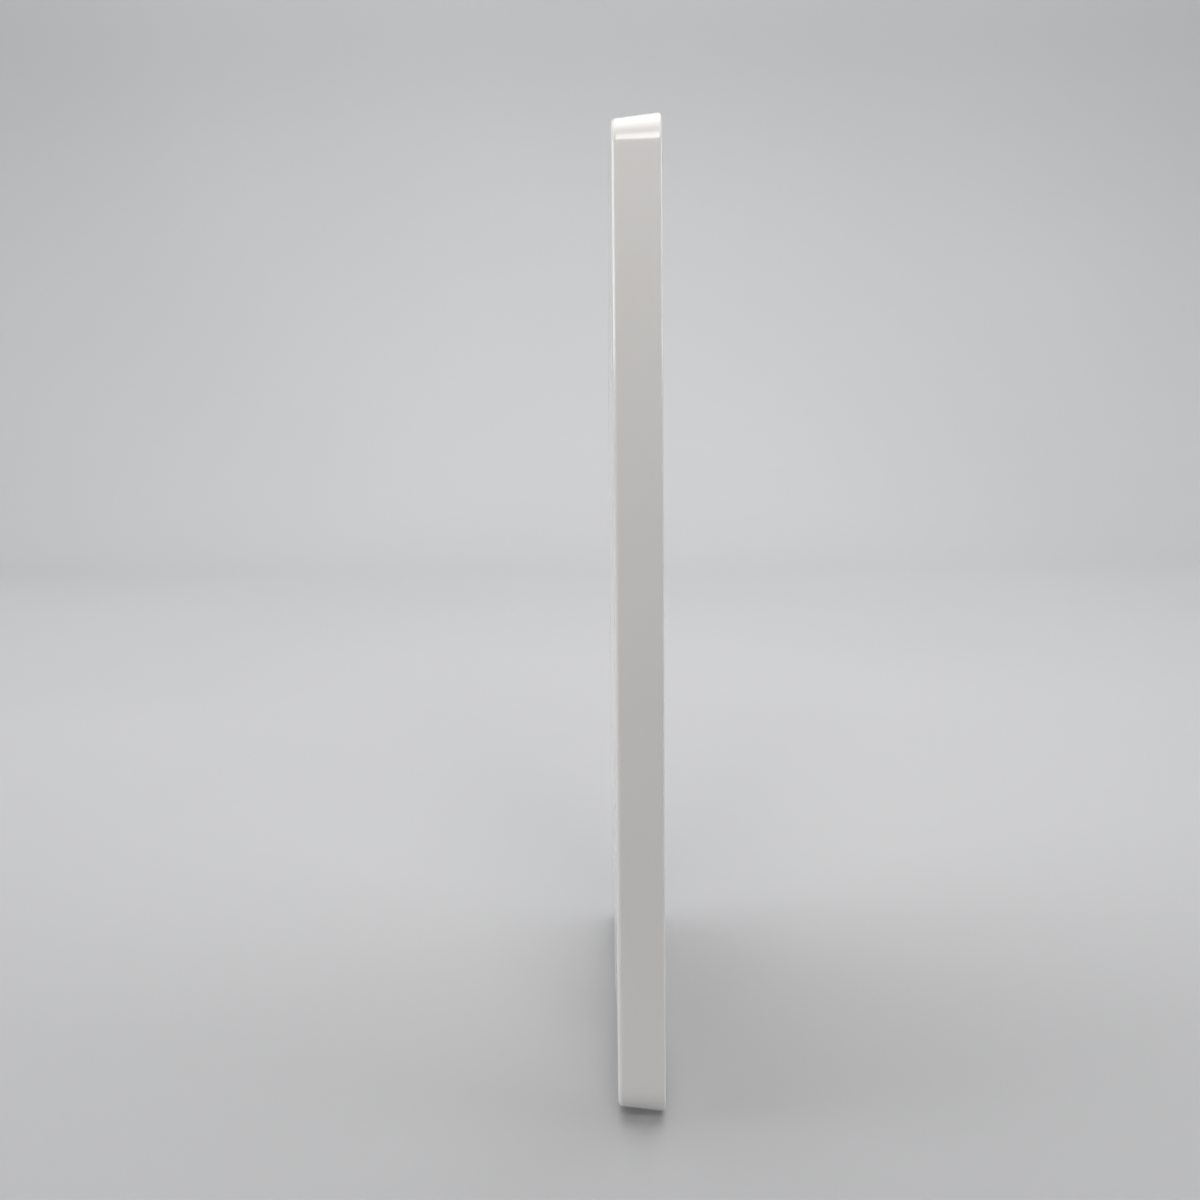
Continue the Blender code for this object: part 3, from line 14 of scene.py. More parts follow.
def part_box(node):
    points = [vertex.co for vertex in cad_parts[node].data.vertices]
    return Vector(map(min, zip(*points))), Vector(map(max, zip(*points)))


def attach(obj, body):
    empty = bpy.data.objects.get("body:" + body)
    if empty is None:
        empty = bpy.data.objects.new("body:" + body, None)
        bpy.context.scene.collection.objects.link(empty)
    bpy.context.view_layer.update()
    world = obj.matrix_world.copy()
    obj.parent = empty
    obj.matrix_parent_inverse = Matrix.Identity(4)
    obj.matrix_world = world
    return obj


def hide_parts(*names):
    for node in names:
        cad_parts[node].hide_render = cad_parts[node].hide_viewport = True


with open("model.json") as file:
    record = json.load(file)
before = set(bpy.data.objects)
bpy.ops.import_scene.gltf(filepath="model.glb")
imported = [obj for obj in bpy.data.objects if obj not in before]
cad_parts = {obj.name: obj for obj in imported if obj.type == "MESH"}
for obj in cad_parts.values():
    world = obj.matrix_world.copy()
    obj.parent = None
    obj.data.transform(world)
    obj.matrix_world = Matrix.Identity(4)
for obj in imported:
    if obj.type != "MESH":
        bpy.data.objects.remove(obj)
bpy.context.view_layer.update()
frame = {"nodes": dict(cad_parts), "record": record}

MM = 0.001

# The casing's form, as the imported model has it
BODY_DEPTH = 12.2 * MM
CROWN = 0.98 * MM
CROWN_MARGIN = 4.5 * MM
CROWN_SINK = 0.05 * MM
CROWN_CELLS = (48, 64)
DRAFT = math.radians(6.9)
CORNER = 8 * MM
SIDE_WALL = 1.8 * MM
BACK_WALL = 1.5 * MM
BACK_FILLET = 1.4 * MM
FRONT_ROUND = 0.7 * MM
BEZEL = 1.5 * MM
GAP = 0.3 * MM
WELD = 0.5 * MM
PAST = 1 * MM
SEAM = 0.12 * MM
POCKET_WALL = 2 * MM
POCKET_FLOOR = 1.2 * MM
HINGE_BLOCK = 4 * MM
TROUGH_FLOOR = 0.9 * MM
BARREL = 1.7 * MM
PIN = 0.75 * MM
BORE_GAP = 0.15 * MM
PIN_REACH = 2.4 * MM
LEG_THICKNESS = 3 * MM
LEG_TAPER = 0.75 * MM
LEG_TIP = 10 * MM
LEG_CORNER = 3 * MM
TIP_SET = 0.2 * MM
BARREL_SETBACK = 1.4 * MM
NOTCH_HEIGHT = 24 * MM
NOTCH_RADIUS = 6.5 * MM
NOTCH_FLOOR = 1 * MM
HANGER_CORNER = 2 * MM
KEYHOLE_RADIUS = 4 * MM
KEYHOLE_SLOT = 4 * MM
KEYHOLE_RISE = 9 * MM
KEYHOLE_DEPTH = 2.4 * MM
SLOT_WIDTH = 1.2 * MM
VENT_RISE = 76 * MM
VENT = (9 * MM, 11, 3.6 * MM)
GRILLE = (4 * MM, 9, 2.8 * MM)
POST_START = 8 * MM
POST_RADIUS = 3.2 * MM
BORE_START = 7 * MM
BORE = 1.15 * MM
HEAD_BORE = 2.2 * MM
HEAD_CHAMFER = 0.2 * MM
SCREW_HEAD = 1 * MM
SCREW_SHANK = 1 * MM
CARD_SLOT = 1.5 * MM
CARD_MARGIN = 1 * MM
FOOT_SINK = 0.5 * MM
FLANGE = 0.8 * MM
FLANGE_LIP = 1 * MM
WINDOW_CHAMFER = 0.6 * MM
WINDOW = (134.6 * MM, 216 * MM)
WINDOW_CORNER = 1 * MM

# Fine forms that only this script makes
CORNER_STEPS = 22
ROUND_STEPS = 8
LIP = 0.25 * MM
LIP_STEPS = 4
LIP_RUN = 6 * MM
SMALL_LIP = 0.15 * MM
BEVEL_SHARE = 0.3
OVAL_SLACK = 0.01 * MM
POCKET_FOOT = 0.3 * MM
POCKET_CORNER = 1 * MM
MOUTH_CORNER = 0.6 * MM
SCOOP_ROUND = 1.4 * MM
SCOOP_CENTRE = 0.5 * MM
KEY_ROUND = 0.35 * MM
LEG_ROUND = 0.4 * MM
RUBBER_ROUND = 0.25 * MM
FOOT_RIBS = 8
TIP_RIBS = 12
TIP_GROOVE = 0.2 * MM
SMOOTH_ANGLE = math.radians(32)

COVER_LOW, COVER_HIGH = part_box("rear_cover")
DEPTH = COVER_HIGH.y - COVER_LOW.y
WIDTH = COVER_HIGH.x - COVER_LOW.x
HEIGHT = COVER_HIGH.z - COVER_LOW.z
MIDDLE = (COVER_HIGH.z + COVER_LOW.z) / 2
FRONT = COVER_LOW.y
INNER_BACK = BODY_DEPTH - BACK_WALL

JOINTS = {joint["name"]: joint for joint in frame["record"]["behaviour"]["joints"]}
HINGE = Vector(JOINTS["kickstand_hinge"]["pos_m"])


# ---------------------------------------------------------------- Shapes


def depth_of(y):
    """The depth of a Y coordinate."""
    return y - FRONT


def wall_inset(depth):
    """How far the drafted side wall has moved in at a depth."""
    start = FRONT_ROUND * (1 + math.sin(DRAFT))
    return FRONT_ROUND * (1 - math.cos(DRAFT)) + (depth - start) * math.tan(DRAFT)


def wall_x(depth):
    """The outer face of the right-hand wall at a depth."""
    return WIDTH / 2 - wall_inset(depth)


def crown(x, z):
    """How far the domed back stands out past its flat margin."""
    across = x / (WIDTH / 2 - CROWN_MARGIN)
    up = (z - MIDDLE) / (HEIGHT / 2 - CROWN_MARGIN)
    return CROWN * max(1 - across**2, 0) * max(1 - up**2, 0)


def back_depth(x, z):
    """The depth of the back's outer face."""
    return BODY_DEPTH + crown(x, z)


def rounded(width, height, radius, centre=None, steps=CORNER_STEPS, sides=(1, 1)):
    """A rounded rectangle, as (across, up) points, its straight sides cut into equal parts."""
    centre = centre or (0, MIDDLE)
    arcs = []
    for side, up, start in ((1, 1, 0), (-1, 1, 90), (-1, -1, 180), (1, -1, 270)):
        x = centre[0] + side * (width / 2 - radius)
        z = centre[1] + up * (height / 2 - radius)
        turns = [math.radians(start + 90 * step / steps) for step in range(steps + 1)]
        arcs.append([(x + radius * math.cos(turn), z + radius * math.sin(turn)) for turn in turns])
    points = []
    for index, arc in enumerate(arcs):
        points += arc
        start, end = Vector(arc[-1]), Vector(arcs[(index + 1) % 4][0])
        parts = sides[index % 2]
        points += [tuple(start.lerp(end, step / parts)) for step in range(1, parts)]
    return points


def oval(width, height, centre, steps):
    """A slot's outline with round ends, as (across, up) points."""
    return rounded(width, height, min(width, height) / 2 - OVAL_SLACK, centre, steps)


def quarter(steps):
    """The turns of a quarter round, from none to a right angle."""
    return [math.radians(90 * step / steps) for step in range(steps + 1)]


def at_depth(points, depth):
    """Points of the XZ plane, put at a depth."""
    return [(x, FRONT + depth, z) for x, z in points]


def skin(shape, rings, closed=False):
    """A surface over rings of equal point counts, capped at both ends or closed on itself."""
    loops = [[shape.verts.new(point) for point in ring] for ring in rings]
    pairs = list(zip(loops, loops[1:]))
    if closed:
        pairs.append((loops[-1], loops[0]))
    count = len(loops[0])
    for first, second in pairs:
        for index in range(count):
            after = (index + 1) % count
            shape.faces.new((first[index], first[after], second[after], second[index]))
    if not closed:
        shape.faces.new(reversed(loops[0]))
        shape.faces.new(loops[-1])
    return shape


def box(shape, x, depth, z):
    """A box between pairs of X, depth and Z values."""
    corners = [(x[0], z[0]), (x[1], z[0]), (x[1], z[1]), (x[0], z[1])]
    return skin(shape, [at_depth(corners, value) for value in depth])


def ring_about(axis, centre, radius, count):
    """A circle of points about a line along X or along Y."""
    points = []
    for index in range(count):
        angle = 2 * math.pi * index / count
        across, up = radius * math.cos(angle), radius * math.sin(angle)
        offset = (0, across, up) if axis == "x" else (across, 0, up)
        points.append(tuple(Vector(centre) + Vector(offset)))
    return points


def turned(shape, axis, centre, profile, count=48):
    """A turned solid: (distance along the axis, radius) pairs about a line from centre."""
    along = Vector((1, 0, 0)) if axis == "x" else Vector((0, 1, 0))
    start = Vector(centre)
    return skin(shape, [ring_about(axis, start + along * place, radius, count) for place, radius in profile])


def link(name, mesh):
    """An object in the scene for a mesh."""
    obj = bpy.data.objects.new(name, mesh)
    bpy.context.scene.collection.objects.link(obj)
    return obj


def mesh_of(name, shape):
    """The working shape as a mesh with its faces turned out."""
    bmesh.ops.recalc_face_normals(shape, faces=shape.faces)
    mesh = bpy.data.meshes.new(name)
    shape.to_mesh(mesh)
    shape.free()
    return mesh


def settled(obj):
    """The object's mesh with its modifiers applied."""
    bpy.context.view_layer.update()
    shown = obj.evaluated_get(bpy.context.evaluated_depsgraph_get())
    mesh = bpy.data.meshes.new_from_object(shown)
    obj.modifiers.clear()
    old = obj.data
    obj.data = mesh
    bpy.data.meshes.remove(old)


def build(name, shape, changes=(), angle=SMOOTH_ANGLE):
    """A smooth-shaded piece: a shape, then the shapes joined to it or cut from it."""
    obj = link(name, mesh_of(name, shape))
    guides = []
    for operation, change in changes:
        guide = link(f"{name}_guide", mesh_of(f"{name}_guide", change))
        modifier = obj.modifiers.new("change", "BOOLEAN")
        modifier.operation = operation
        modifier.solver = "EXACT"
        modifier.object = guide
        guides.append(guide)
    if guides:
        settled(obj)
    for guide in guides:
        mesh = guide.data
        bpy.data.objects.remove(guide)
        bpy.data.meshes.remove(mesh)
    obj.data.shade_smooth()
    obj.data.set_sharp_from_angle(angle=angle)
    weighted = obj.modifiers.new("even_shading", "WEIGHTED_NORMAL")
    weighted.keep_sharp = True
    settled(obj)
    return obj


def finish(obj, material, body, slot, *nodes):
    """Gives a piece its material and its body, and hides the CAD nodes it stands for; the slot is not used.
    """
    obj.data.materials.clear()
    obj.data.materials.append(material)
    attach(obj, body)
    if nodes:
        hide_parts(*nodes)
    return obj


# ---------------------------------------------------------------- Materials


class Nodes:
    """A material under construction, with short ways to add its nodes."""

    def __init__(self, name, colour, roughness, metallic=0.0):
        self.material = bpy.data.materials.new(name)
        self.material.use_nodes = True
        self.tree = self.material.node_tree
        self.shader = self.tree.nodes["Principled BSDF"]
        self.shader.inputs["Base Color"].default_value = (*colour, 1)
        self.shader.inputs["Roughness"].default_value = roughness
        self.shader.inputs["Metallic"].default_value = metallic
        self.place = self.node("ShaderNodeTexCoord").outputs["Object"]

    def node(self, kind, **settings):
        node = self.tree.nodes.new(kind)
        for key, value in settings.items():
            setattr(node, key, value)
        return node

    def join(self, output, socket):
        self.tree.links.new(output, socket)

    def stretch(self, scale):
        """The place, scaled by three factors."""
        node = self.node("ShaderNodeMapping")
        node.inputs["Scale"].default_value = scale
        self.join(self.place, node.inputs["Vector"])
        return node.outputs["Vector"]

    def noise(self, scale, detail=2.0, roughness=0.5, vector=None):
        node = self.node("ShaderNodeTexNoise")
        node.inputs["Scale"].default_value = scale
        node.inputs["Detail"].default_value = detail
        node.inputs["Roughness"].default_value = roughness
        self.join(vector or self.place, node.inputs["Vector"])
        return node.outputs["Fac"]

    def cells(self, scale, feature="F1", vector=None):
        node = self.node("ShaderNodeTexVoronoi", feature=feature)
        node.inputs["Scale"].default_value = scale
        self.join(vector or self.place, node.inputs["Vector"])
        return node.outputs["Distance"]

    def wave(self, scale, axis, vector=None, distortion=0.0):
        node = self.node("ShaderNodeTexWave", bands_direction=axis)
        node.inputs["Scale"].default_value = scale
        node.inputs["Distortion"].default_value = distortion
        self.join(vector or self.place, node.inputs["Vector"])
        return node.outputs["Fac"]

    def remap(self, value, low, high, to_low=0.0, to_high=1.0):
        node = self.node("ShaderNodeMapRange")
        for index, number in enumerate((low, high, to_low, to_high), 1):
            node.inputs[index].default_value = number
        self.join(value, node.inputs[0])
        return node.outputs[0]

    def maths(self, operation, first, second):
        node = self.node("ShaderNodeMath", operation=operation)
        for socket, value in zip(node.inputs, (first, second)):
            if isinstance(value, (int, float)):
                socket.default_value = value
            else:
                self.join(value, socket)
        return node.outputs[0]

    def mix(self, factor, first, second):
        node = self.node("ShaderNodeMix", data_type="RGBA")
        self.join(factor, node.inputs["Factor"])
        for socket, value in zip((node.inputs[6], node.inputs[7]), (first, second)):
            if isinstance(value, tuple):
                socket.default_value = (*value, 1)
            else:
                self.join(value, socket)
        return node.outputs[2]

    def bump(self, height, strength, distance):
        node = self.node("ShaderNodeBump")
        node.inputs["Strength"].default_value = strength
        node.inputs["Distance"].default_value = distance
        self.join(height, node.inputs["Height"])
        self.join(node.outputs["Normal"], self.shader.inputs["Normal"])

    def set(self, name, output):
        self.join(output, self.shader.inputs[name])


def gloss_plastic():
    """Polished white moulding: faint flow tint, orange peel, wiping marks and a few dust specks."""
    m = Nodes("gloss_white_moulding", (0.83, 0.825, 0.81), 0.09)
    tint = m.remap(m.noise(14, 3), 0.35, 0.65)
    base = m.mix(tint, (0.80, 0.793, 0.78), (0.82, 0.815, 0.806))
    speck = m.remap(m.cells(95), 0.022, 0.034, 1.0, 0.0)
    rare = m.remap(m.noise(55, 0), 0.66, 0.68)
    dust = m.maths("MULTIPLY", speck, rare)
    m.set("Base Color", m.mix(dust, base, (0.52, 0.51, 0.49)))
    wiped = m.noise(1, 3, 0.6, m.stretch((60, 60, 14)))
    m.set("Roughness", m.remap(wiped, 0.3, 0.7, 0.06, 0.13))
    peel = m.maths("ADD", m.noise(330, 2), m.maths("MULTIPLY", m.noise(60, 1), 1.5))
    m.bump(peel, 0.05, 0.00012)
    return m.material


def satin_plastic():
    """Fine spark-eroded satin for the keys."""
    m = Nodes("satin_white_moulding", (0.80, 0.795, 0.78), 0.42)
    m.set("Base Color", m.mix(m.noise(120, 3), (0.77, 0.765, 0.75), (0.82, 0.815, 0.80)))
    m.set("Roughness", m.remap(m.noise(900, 2), 0.3, 0.7, 0.36, 0.50))
    m.bump(m.noise(5200, 2), 0.25, 0.00003)
    return m.material


def matt_plastic():
    """Plain inner moulding with flow streaks."""
    m = Nodes("matt_white_moulding", (0.78, 0.775, 0.755), 0.5)
    flow = m.noise(1, 3, 0.6, m.stretch((240, 60, 30)))
    m.set("Base Color", m.mix(flow, (0.75, 0.745, 0.72), (0.80, 0.795, 0.78)))
    m.set("Roughness", m.remap(m.noise(700, 2), 0.3, 0.7, 0.45, 0.6))
    m.bump(m.noise(2600, 2), 0.2, 0.00003)
    return m.material


def cover_glass():
    """Clear cover glass with faint finger marks."""
    m = Nodes("cover_glass", (0.93, 0.94, 0.95), 0.02)
    m.shader.inputs["Transmission Weight"].default_value = 1.0
    m.shader.inputs["IOR"].default_value = 1.5
    smudge = m.remap(m.noise(26, 5, 0.6), 0.5, 0.72)
    m.set("Roughness", m.remap(smudge, 0, 1, 0.012, 0.07))
    m.set("Base Color", m.mix(smudge, (0.95, 0.955, 0.96), (0.88, 0.89, 0.90)))
    m.bump(m.noise(18, 1), 0.02, 0.0002)
    return m.material


def display_cell():
    """A switched-off display: near-black, with its fine pixel rows."""
    m = Nodes("display_cell", (0.010, 0.011, 0.013), 0.16)
    rows = m.maths("MULTIPLY", m.wave(900, "Z"), m.wave(900, "X"))
    m.set("Base Color", m.mix(rows, (0.008, 0.009, 0.011), (0.017, 0.018, 0.022)))
    m.set("Roughness", m.remap(m.noise(40, 3), 0.3, 0.7, 0.12, 0.22))
    m.bump(rows, 0.1, 0.00001)
    return m.material


def frosted_sheet():
    """Frosted light sheet with a fine prism grain."""
    m = Nodes("frosted_sheet", (0.78, 0.82, 0.84), 0.3)
    m.shader.inputs["Transmission Weight"].default_value = 0.6
    grain = m.wave(2400, "Z", distortion=0.6)
    m.set("Base Color", m.mix(m.noise(50, 2), (0.74, 0.79, 0.81), (0.80, 0.84, 0.86)))
    m.set("Roughness", m.remap(grain, 0, 1, 0.22, 0.38))
    m.bump(grain, 0.2, 0.00002)
    return m.material


def foil():
    """Silver reflector film with soft creases."""
    m = Nodes("silver_foil", (0.80, 0.81, 0.82), 0.22, 1.0)
    crease = m.noise(45, 4, 0.6)
    m.set("Base Color", m.mix(crease, (0.74, 0.75, 0.77), (0.85, 0.86, 0.87)))
    m.set("Roughness", m.remap(crease, 0.3, 0.7, 0.16, 0.3))
    m.bump(crease, 0.3, 0.0003)
    return m.material


def brushed_steel(name, along):
    """Stamped steel brushed along one axis, with light stains."""
    m = Nodes(name, (0.60, 0.61, 0.62), 0.3, 1.0)
    across = {"x": (60, 2600, 2600), "z": (2600, 2600, 60)}[along]
    lines = m.noise(1, 4, 0.7, m.stretch(across))
    stain = m.noise(70, 3)
    worn = m.maths("MULTIPLY", lines, m.remap(stain, 0.2, 0.8, 0.85, 1.1))
    m.set("Base Color", m.mix(worn, (0.46, 0.465, 0.475), (0.70, 0.705, 0.71)))
    m.set("Roughness", m.remap(lines, 0.25, 0.75, 0.22, 0.42))
    m.bump(lines, 0.25, 0.00002)
    m.shader.inputs["Anisotropic"].default_value = 0.4
    return m.material


def screw_steel():
    """Turned and plated steel with faint tool rings and rubbed spots."""
    m = Nodes("plated_screw_steel", (0.62, 0.625, 0.63), 0.26, 1.0)
    rub = m.noise(900, 3)
    m.set("Base Color", m.mix(rub, (0.50, 0.505, 0.51), (0.74, 0.745, 0.75)))
    m.set("Roughness", m.remap(rub, 0.3, 0.7, 0.18, 0.36))
    m.bump(m.noise(3800, 2), 0.2, 0.00002)
    return m.material


def circuit_board():
    """Green solder mask over copper tracks, with small pads."""
    m = Nodes("circuit_board", (0.012, 0.13, 0.06), 0.32)
    track = m.maths("MULTIPLY", m.wave(190, "Z", distortion=3.0), m.wave(150, "X", distortion=4.0))
    line = m.remap(track, 0.30, 0.36)
    mask = m.mix(line, (0.008, 0.085, 0.042), (0.016, 0.17, 0.075))
    pad = m.remap(m.cells(420), 0.16, 0.20, 1.0, 0.0)
    few = m.remap(m.noise(130, 0), 0.58, 0.60)
    pads = m.maths("MULTIPLY", pad, few)
    m.set("Base Color", m.mix(pads, mask, (0.55, 0.50, 0.36)))
    m.set("Roughness", m.remap(m.noise(500, 2), 0.3, 0.7, 0.26, 0.42))
    m.bump(m.maths("ADD", line, pads), 0.3, 0.00004)
    return m.material


def chip_black():
    """Matt black moulded package."""
    m = Nodes("black_package", (0.022, 0.022, 0.023), 0.55)
    m.set("Base Color", m.mix(m.noise(300, 3), (0.016, 0.016, 0.017), (0.032, 0.032, 0.033)))
    m.set("Roughness", m.remap(m.noise(1500, 2), 0.3, 0.7, 0.48, 0.66))
    m.bump(m.noise(4200, 2), 0.3, 0.00003)
    return m.material


def speaker_cloth():
    """Black woven dust cloth over the speaker."""
    m = Nodes("speaker_cloth", (0.03, 0.03, 0.031), 0.8)
    weave = m.maths("ADD", m.wave(700, "X"), m.wave(700, "Z"))
    m.set("Base Color", m.mix(m.remap(weave, 0.4, 1.6), (0.012, 0.012, 0.012), (0.05, 0.05, 0.052)))
    m.set("Roughness", m.remap(m.noise(400, 2), 0.3, 0.7, 0.72, 0.9))
    m.bump(weave, 0.5, 0.00008)
    return m.material


def rubber():
    """Grey rubber with a fine pimpled grain and rubbed, paler spots."""
    m = Nodes("grey_rubber", (0.20, 0.20, 0.205), 0.82)
    m.set("Base Color", m.mix(m.noise(160, 4), (0.165, 0.165, 0.17), (0.25, 0.25, 0.255)))
    m.set("Roughness", m.remap(m.noise(600, 2), 0.3, 0.7, 0.74, 0.92))
    m.bump(m.cells(2600), 0.4, 0.00005)
    return m.material


def insulation():
    """Black lead insulation with a slight sheen and scuffs."""
    m = Nodes("black_insulation", (0.03, 0.03, 0.03), 0.5)
    m.set("Base Color", m.mix(m.noise(400, 3), (0.022, 0.022, 0.022), (0.05, 0.05, 0.05)))
    m.set("Roughness", m.remap(m.noise(900, 2), 0.3, 0.7, 0.42, 0.6))
    m.bump(m.noise(1800, 2), 0.2, 0.00003)
    return m.material


def flat_cable():
    """Amber film with its row of copper tracks."""
    m = Nodes("amber_flat_cable", (0.45, 0.22, 0.04), 0.35)
    tracks = m.remap(m.wave(330, "X"), 0.45, 0.6)
    m.set("Base Color", m.mix(tracks, (0.34, 0.15, 0.025), (0.56, 0.30, 0.07)))
    m.set("Roughness", m.remap(m.noise(300, 2), 0.3, 0.7, 0.28, 0.42))
    m.bump(tracks, 0.3, 0.00003)
    return m.material


def contact_gold():
    """Thin worn gold plating."""
    m = Nodes("contact_gold", (0.83, 0.62, 0.24), 0.25, 1.0)
    rub = m.noise(2200, 3)
    m.set("Base Color", m.mix(rub, (0.72, 0.52, 0.20), (0.90, 0.70, 0.32)))
    m.set("Roughness", m.remap(rub, 0.3, 0.7, 0.18, 0.34))
    return m.material


def studio_card():
    """Plain pale studio card with soft, wide unevenness, and painted shade darkening its near end."""
    m = Nodes("studio_card", (0.46, 0.465, 0.475), 0.75)
    pale = m.mix(m.remap(m.noise(1.4, 2), 0.3, 0.7), (0.48, 0.484, 0.494), (0.51, 0.514, 0.524))
    split = m.node("ShaderNodeSeparateXYZ")
    m.join(m.place, split.inputs[0])
    # painted shade: the card turns dark towards the camera, standing in for a less-lit near floor
    near = m.remap(split.outputs["X"], -0.34, -0.14)
    m.set("Base Color", m.mix(near, (0.18, 0.18, 0.184), pale))
    m.set("Roughness", m.remap(m.noise(5, 2), 0.3, 0.7, 0.7, 0.8))
    m.bump(m.noise(900, 2), 0.05, 0.0002)
    return m.material


GLOSS = gloss_plastic()
SATIN = satin_plastic()
MATT = matt_plastic()
GLASS = cover_glass()
CELL = display_cell()
SHEET = frosted_sheet()
FOIL = foil()
STEEL = brushed_steel("brushed_steel_upright", "z")
STEEL_ACROSS = brushed_steel("brushed_steel_across", "x")
SCREW_STEEL = screw_steel()
BOARD = circuit_board()
CHIP = chip_black()
CLOTH = speaker_cloth()
RUBBER = rubber()
INSULATION = insulation()
FLEX = flat_cable()
GOLD = contact_gold()


# ---------------------------------------------------------------- Casing


def body_outline(inset, steps=CORNER_STEPS):
    """The body's outline, moved in by a distance."""
    return rounded(WIDTH - 2 * inset, HEIGHT - 2 * inset, CORNER - inset, None, steps)


def recess(shape, width, height, radius, centre, floor, lip=LIP, foot=0.0, steps=10):
    """A pocket in the domed back with a rounded lip, and a rounded foot where it is given."""
    sides = (math.ceil(width / LIP_RUN), math.ceil(height / LIP_RUN))

    def ring(grow, above=None, depth=None):
        points = rounded(width + 2 * grow, height + 2 * grow, radius + grow, centre, steps, sides)
        if depth is not None:
            return at_depth(points, depth)
        return [(x, FRONT + back_depth(x, z) + above, z) for x, z in points]

    rings = [ring(lip, above=PAST), ring(lip, above=0)]
    for turn in quarter(LIP_STEPS)[1:]:
        rings.append(ring(lip - lip * math.sin(turn), above=lip * math.cos(turn) - lip))
    if foot:
        for turn in quarter(LIP_STEPS):
            rings.append(ring(-foot * (1 - math.cos(turn)), depth=floor + foot * (1 - math.sin(turn))))
    else:
        rings.append(ring(0, depth=floor))
    return skin(shape, rings)


def side_opening(shape, depth, height, thickness, length, lip=LIP):
    """A round-ended opening through the right-hand wall, with a lip that follows the draft."""
    rings = [(-SIDE_WALL - 2.5 * PAST, 0)]
    for turn in reversed(quarter(LIP_STEPS)):
        rings.append((-lip + lip * math.cos(turn), lip - lip * math.sin(turn)))
    rings.append((PAST, lip))
    outlines = []
    for place, grow in rings:
        points = oval(thickness + 2 * grow, length + 2 * grow, (depth, height), 10)
        outlines.append([(wall_x(near) + place, FRONT + near, z) for near, z in points])
    return skin(shape, outlines)


def cover_shell():
    """The tray's skin: flat back, tangent back round, drafted walls, front round and inside."""
    start = FRONT_ROUND * (1 + math.sin(DRAFT))
    centre = BODY_DEPTH - BACK_FILLET
    slant = BACK_FILLET + (centre - start) * math.sin(DRAFT)
    centre_inset = wall_inset(start) + slant / math.cos(DRAFT)
    rings = []
    for step in range(ROUND_STEPS + 1):
        turn = (math.pi / 2 - DRAFT) * step / ROUND_STEPS
        rings.append((centre + BACK_FILLET * math.cos(turn), centre_inset - BACK_FILLET * math.sin(turn)))
    for step in range(ROUND_STEPS + 1):
        turn = (math.pi / 2 - DRAFT) + (math.pi / 2 + DRAFT) * step / ROUND_STEPS
        across, along = FRONT_ROUND * math.sin(turn), FRONT_ROUND * math.cos(turn)
        rings.append((FRONT_ROUND + along, FRONT_ROUND - across))
    for turn in quarter(LIP_STEPS):
        rings.append((SMALL_LIP * (1 - math.cos(turn)), SIDE_WALL - SMALL_LIP + SMALL_LIP * math.sin(turn)))
    rings.append((BEZEL + GAP, SIDE_WALL))
    rings.append((INNER_BACK, SIDE_WALL + wall_inset(INNER_BACK)))
    return skin(bmesh.new(), [at_depth(body_outline(inset), depth) for depth, inset in rings])


def back_crown():
    """The gentle dome of the back, a closed solid whose rim lies just under the flat margin."""
    columns, rows = CROWN_CELLS
    shape = bmesh.new()
    grid = []
    for row in range(rows + 1):
        up = 2 * row / rows - 1
        line = []
        for column in range(columns + 1):
            across = 2 * column / columns - 1
            x = across * (WIDTH / 2 - CROWN_MARGIN)
            z = MIDDLE + up * (HEIGHT / 2 - CROWN_MARGIN)
            rim = row in (0, rows) or column in (0, columns)
            depth = BODY_DEPTH - CROWN_SINK if rim else back_depth(x, z)
            line.append(shape.verts.new((x, FRONT + depth, z)))
        grid.append(line)
    for lower, upper in zip(grid, grid[1:]):
        for column in range(columns):
            shape.faces.new((lower[column], lower[column + 1], upper[column + 1], upper[column]))
    rim = grid[0][:-1] + [line[-1] for line in grid[:-1]]
    rim += grid[-1][:0:-1] + [line[0] for line in grid[:0:-1]]
    base = [shape.verts.new((vert.co.x, FRONT + INNER_BACK + WELD, vert.co.z)) for vert in rim]
    for index, vert in enumerate(rim):
        after = (index + 1) % len(rim)
        shape.faces.new((vert, rim[after], base[after], base[index]))
    shape.faces.new(base)
    return shape


def leg_front():
    """The depth of the leg's inner face."""
    return depth_of(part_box("kickstand_pad")[0].y) - TIP_SET


def screw_axes():
    """Corner, X, Z and the depth where the head ends, of each of the four case screws."""
    for corner in ("lower_left", "lower_right", "upper_left", "upper_right"):
        low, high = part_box(f"case_screw_{corner}")
        yield corner, (low.x + high.x) / 2, (low.z + high.z) / 2, depth_of(high.y)


def slot_places():
    """Centres of the vent and grille slots, with their length, count and pitch."""
    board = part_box("main_board")
    middle = (board[0].x + wall_x(INNER_BACK)) / 2
    for side in (-1, 1):
        yield side * middle, MIDDLE + VENT_RISE, *VENT
    for name in ("speaker_left", "speaker_right"):
        low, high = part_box(name)
        yield (low.x + high.x) / 2, (low.z + high.z) / 2, *GRILLE


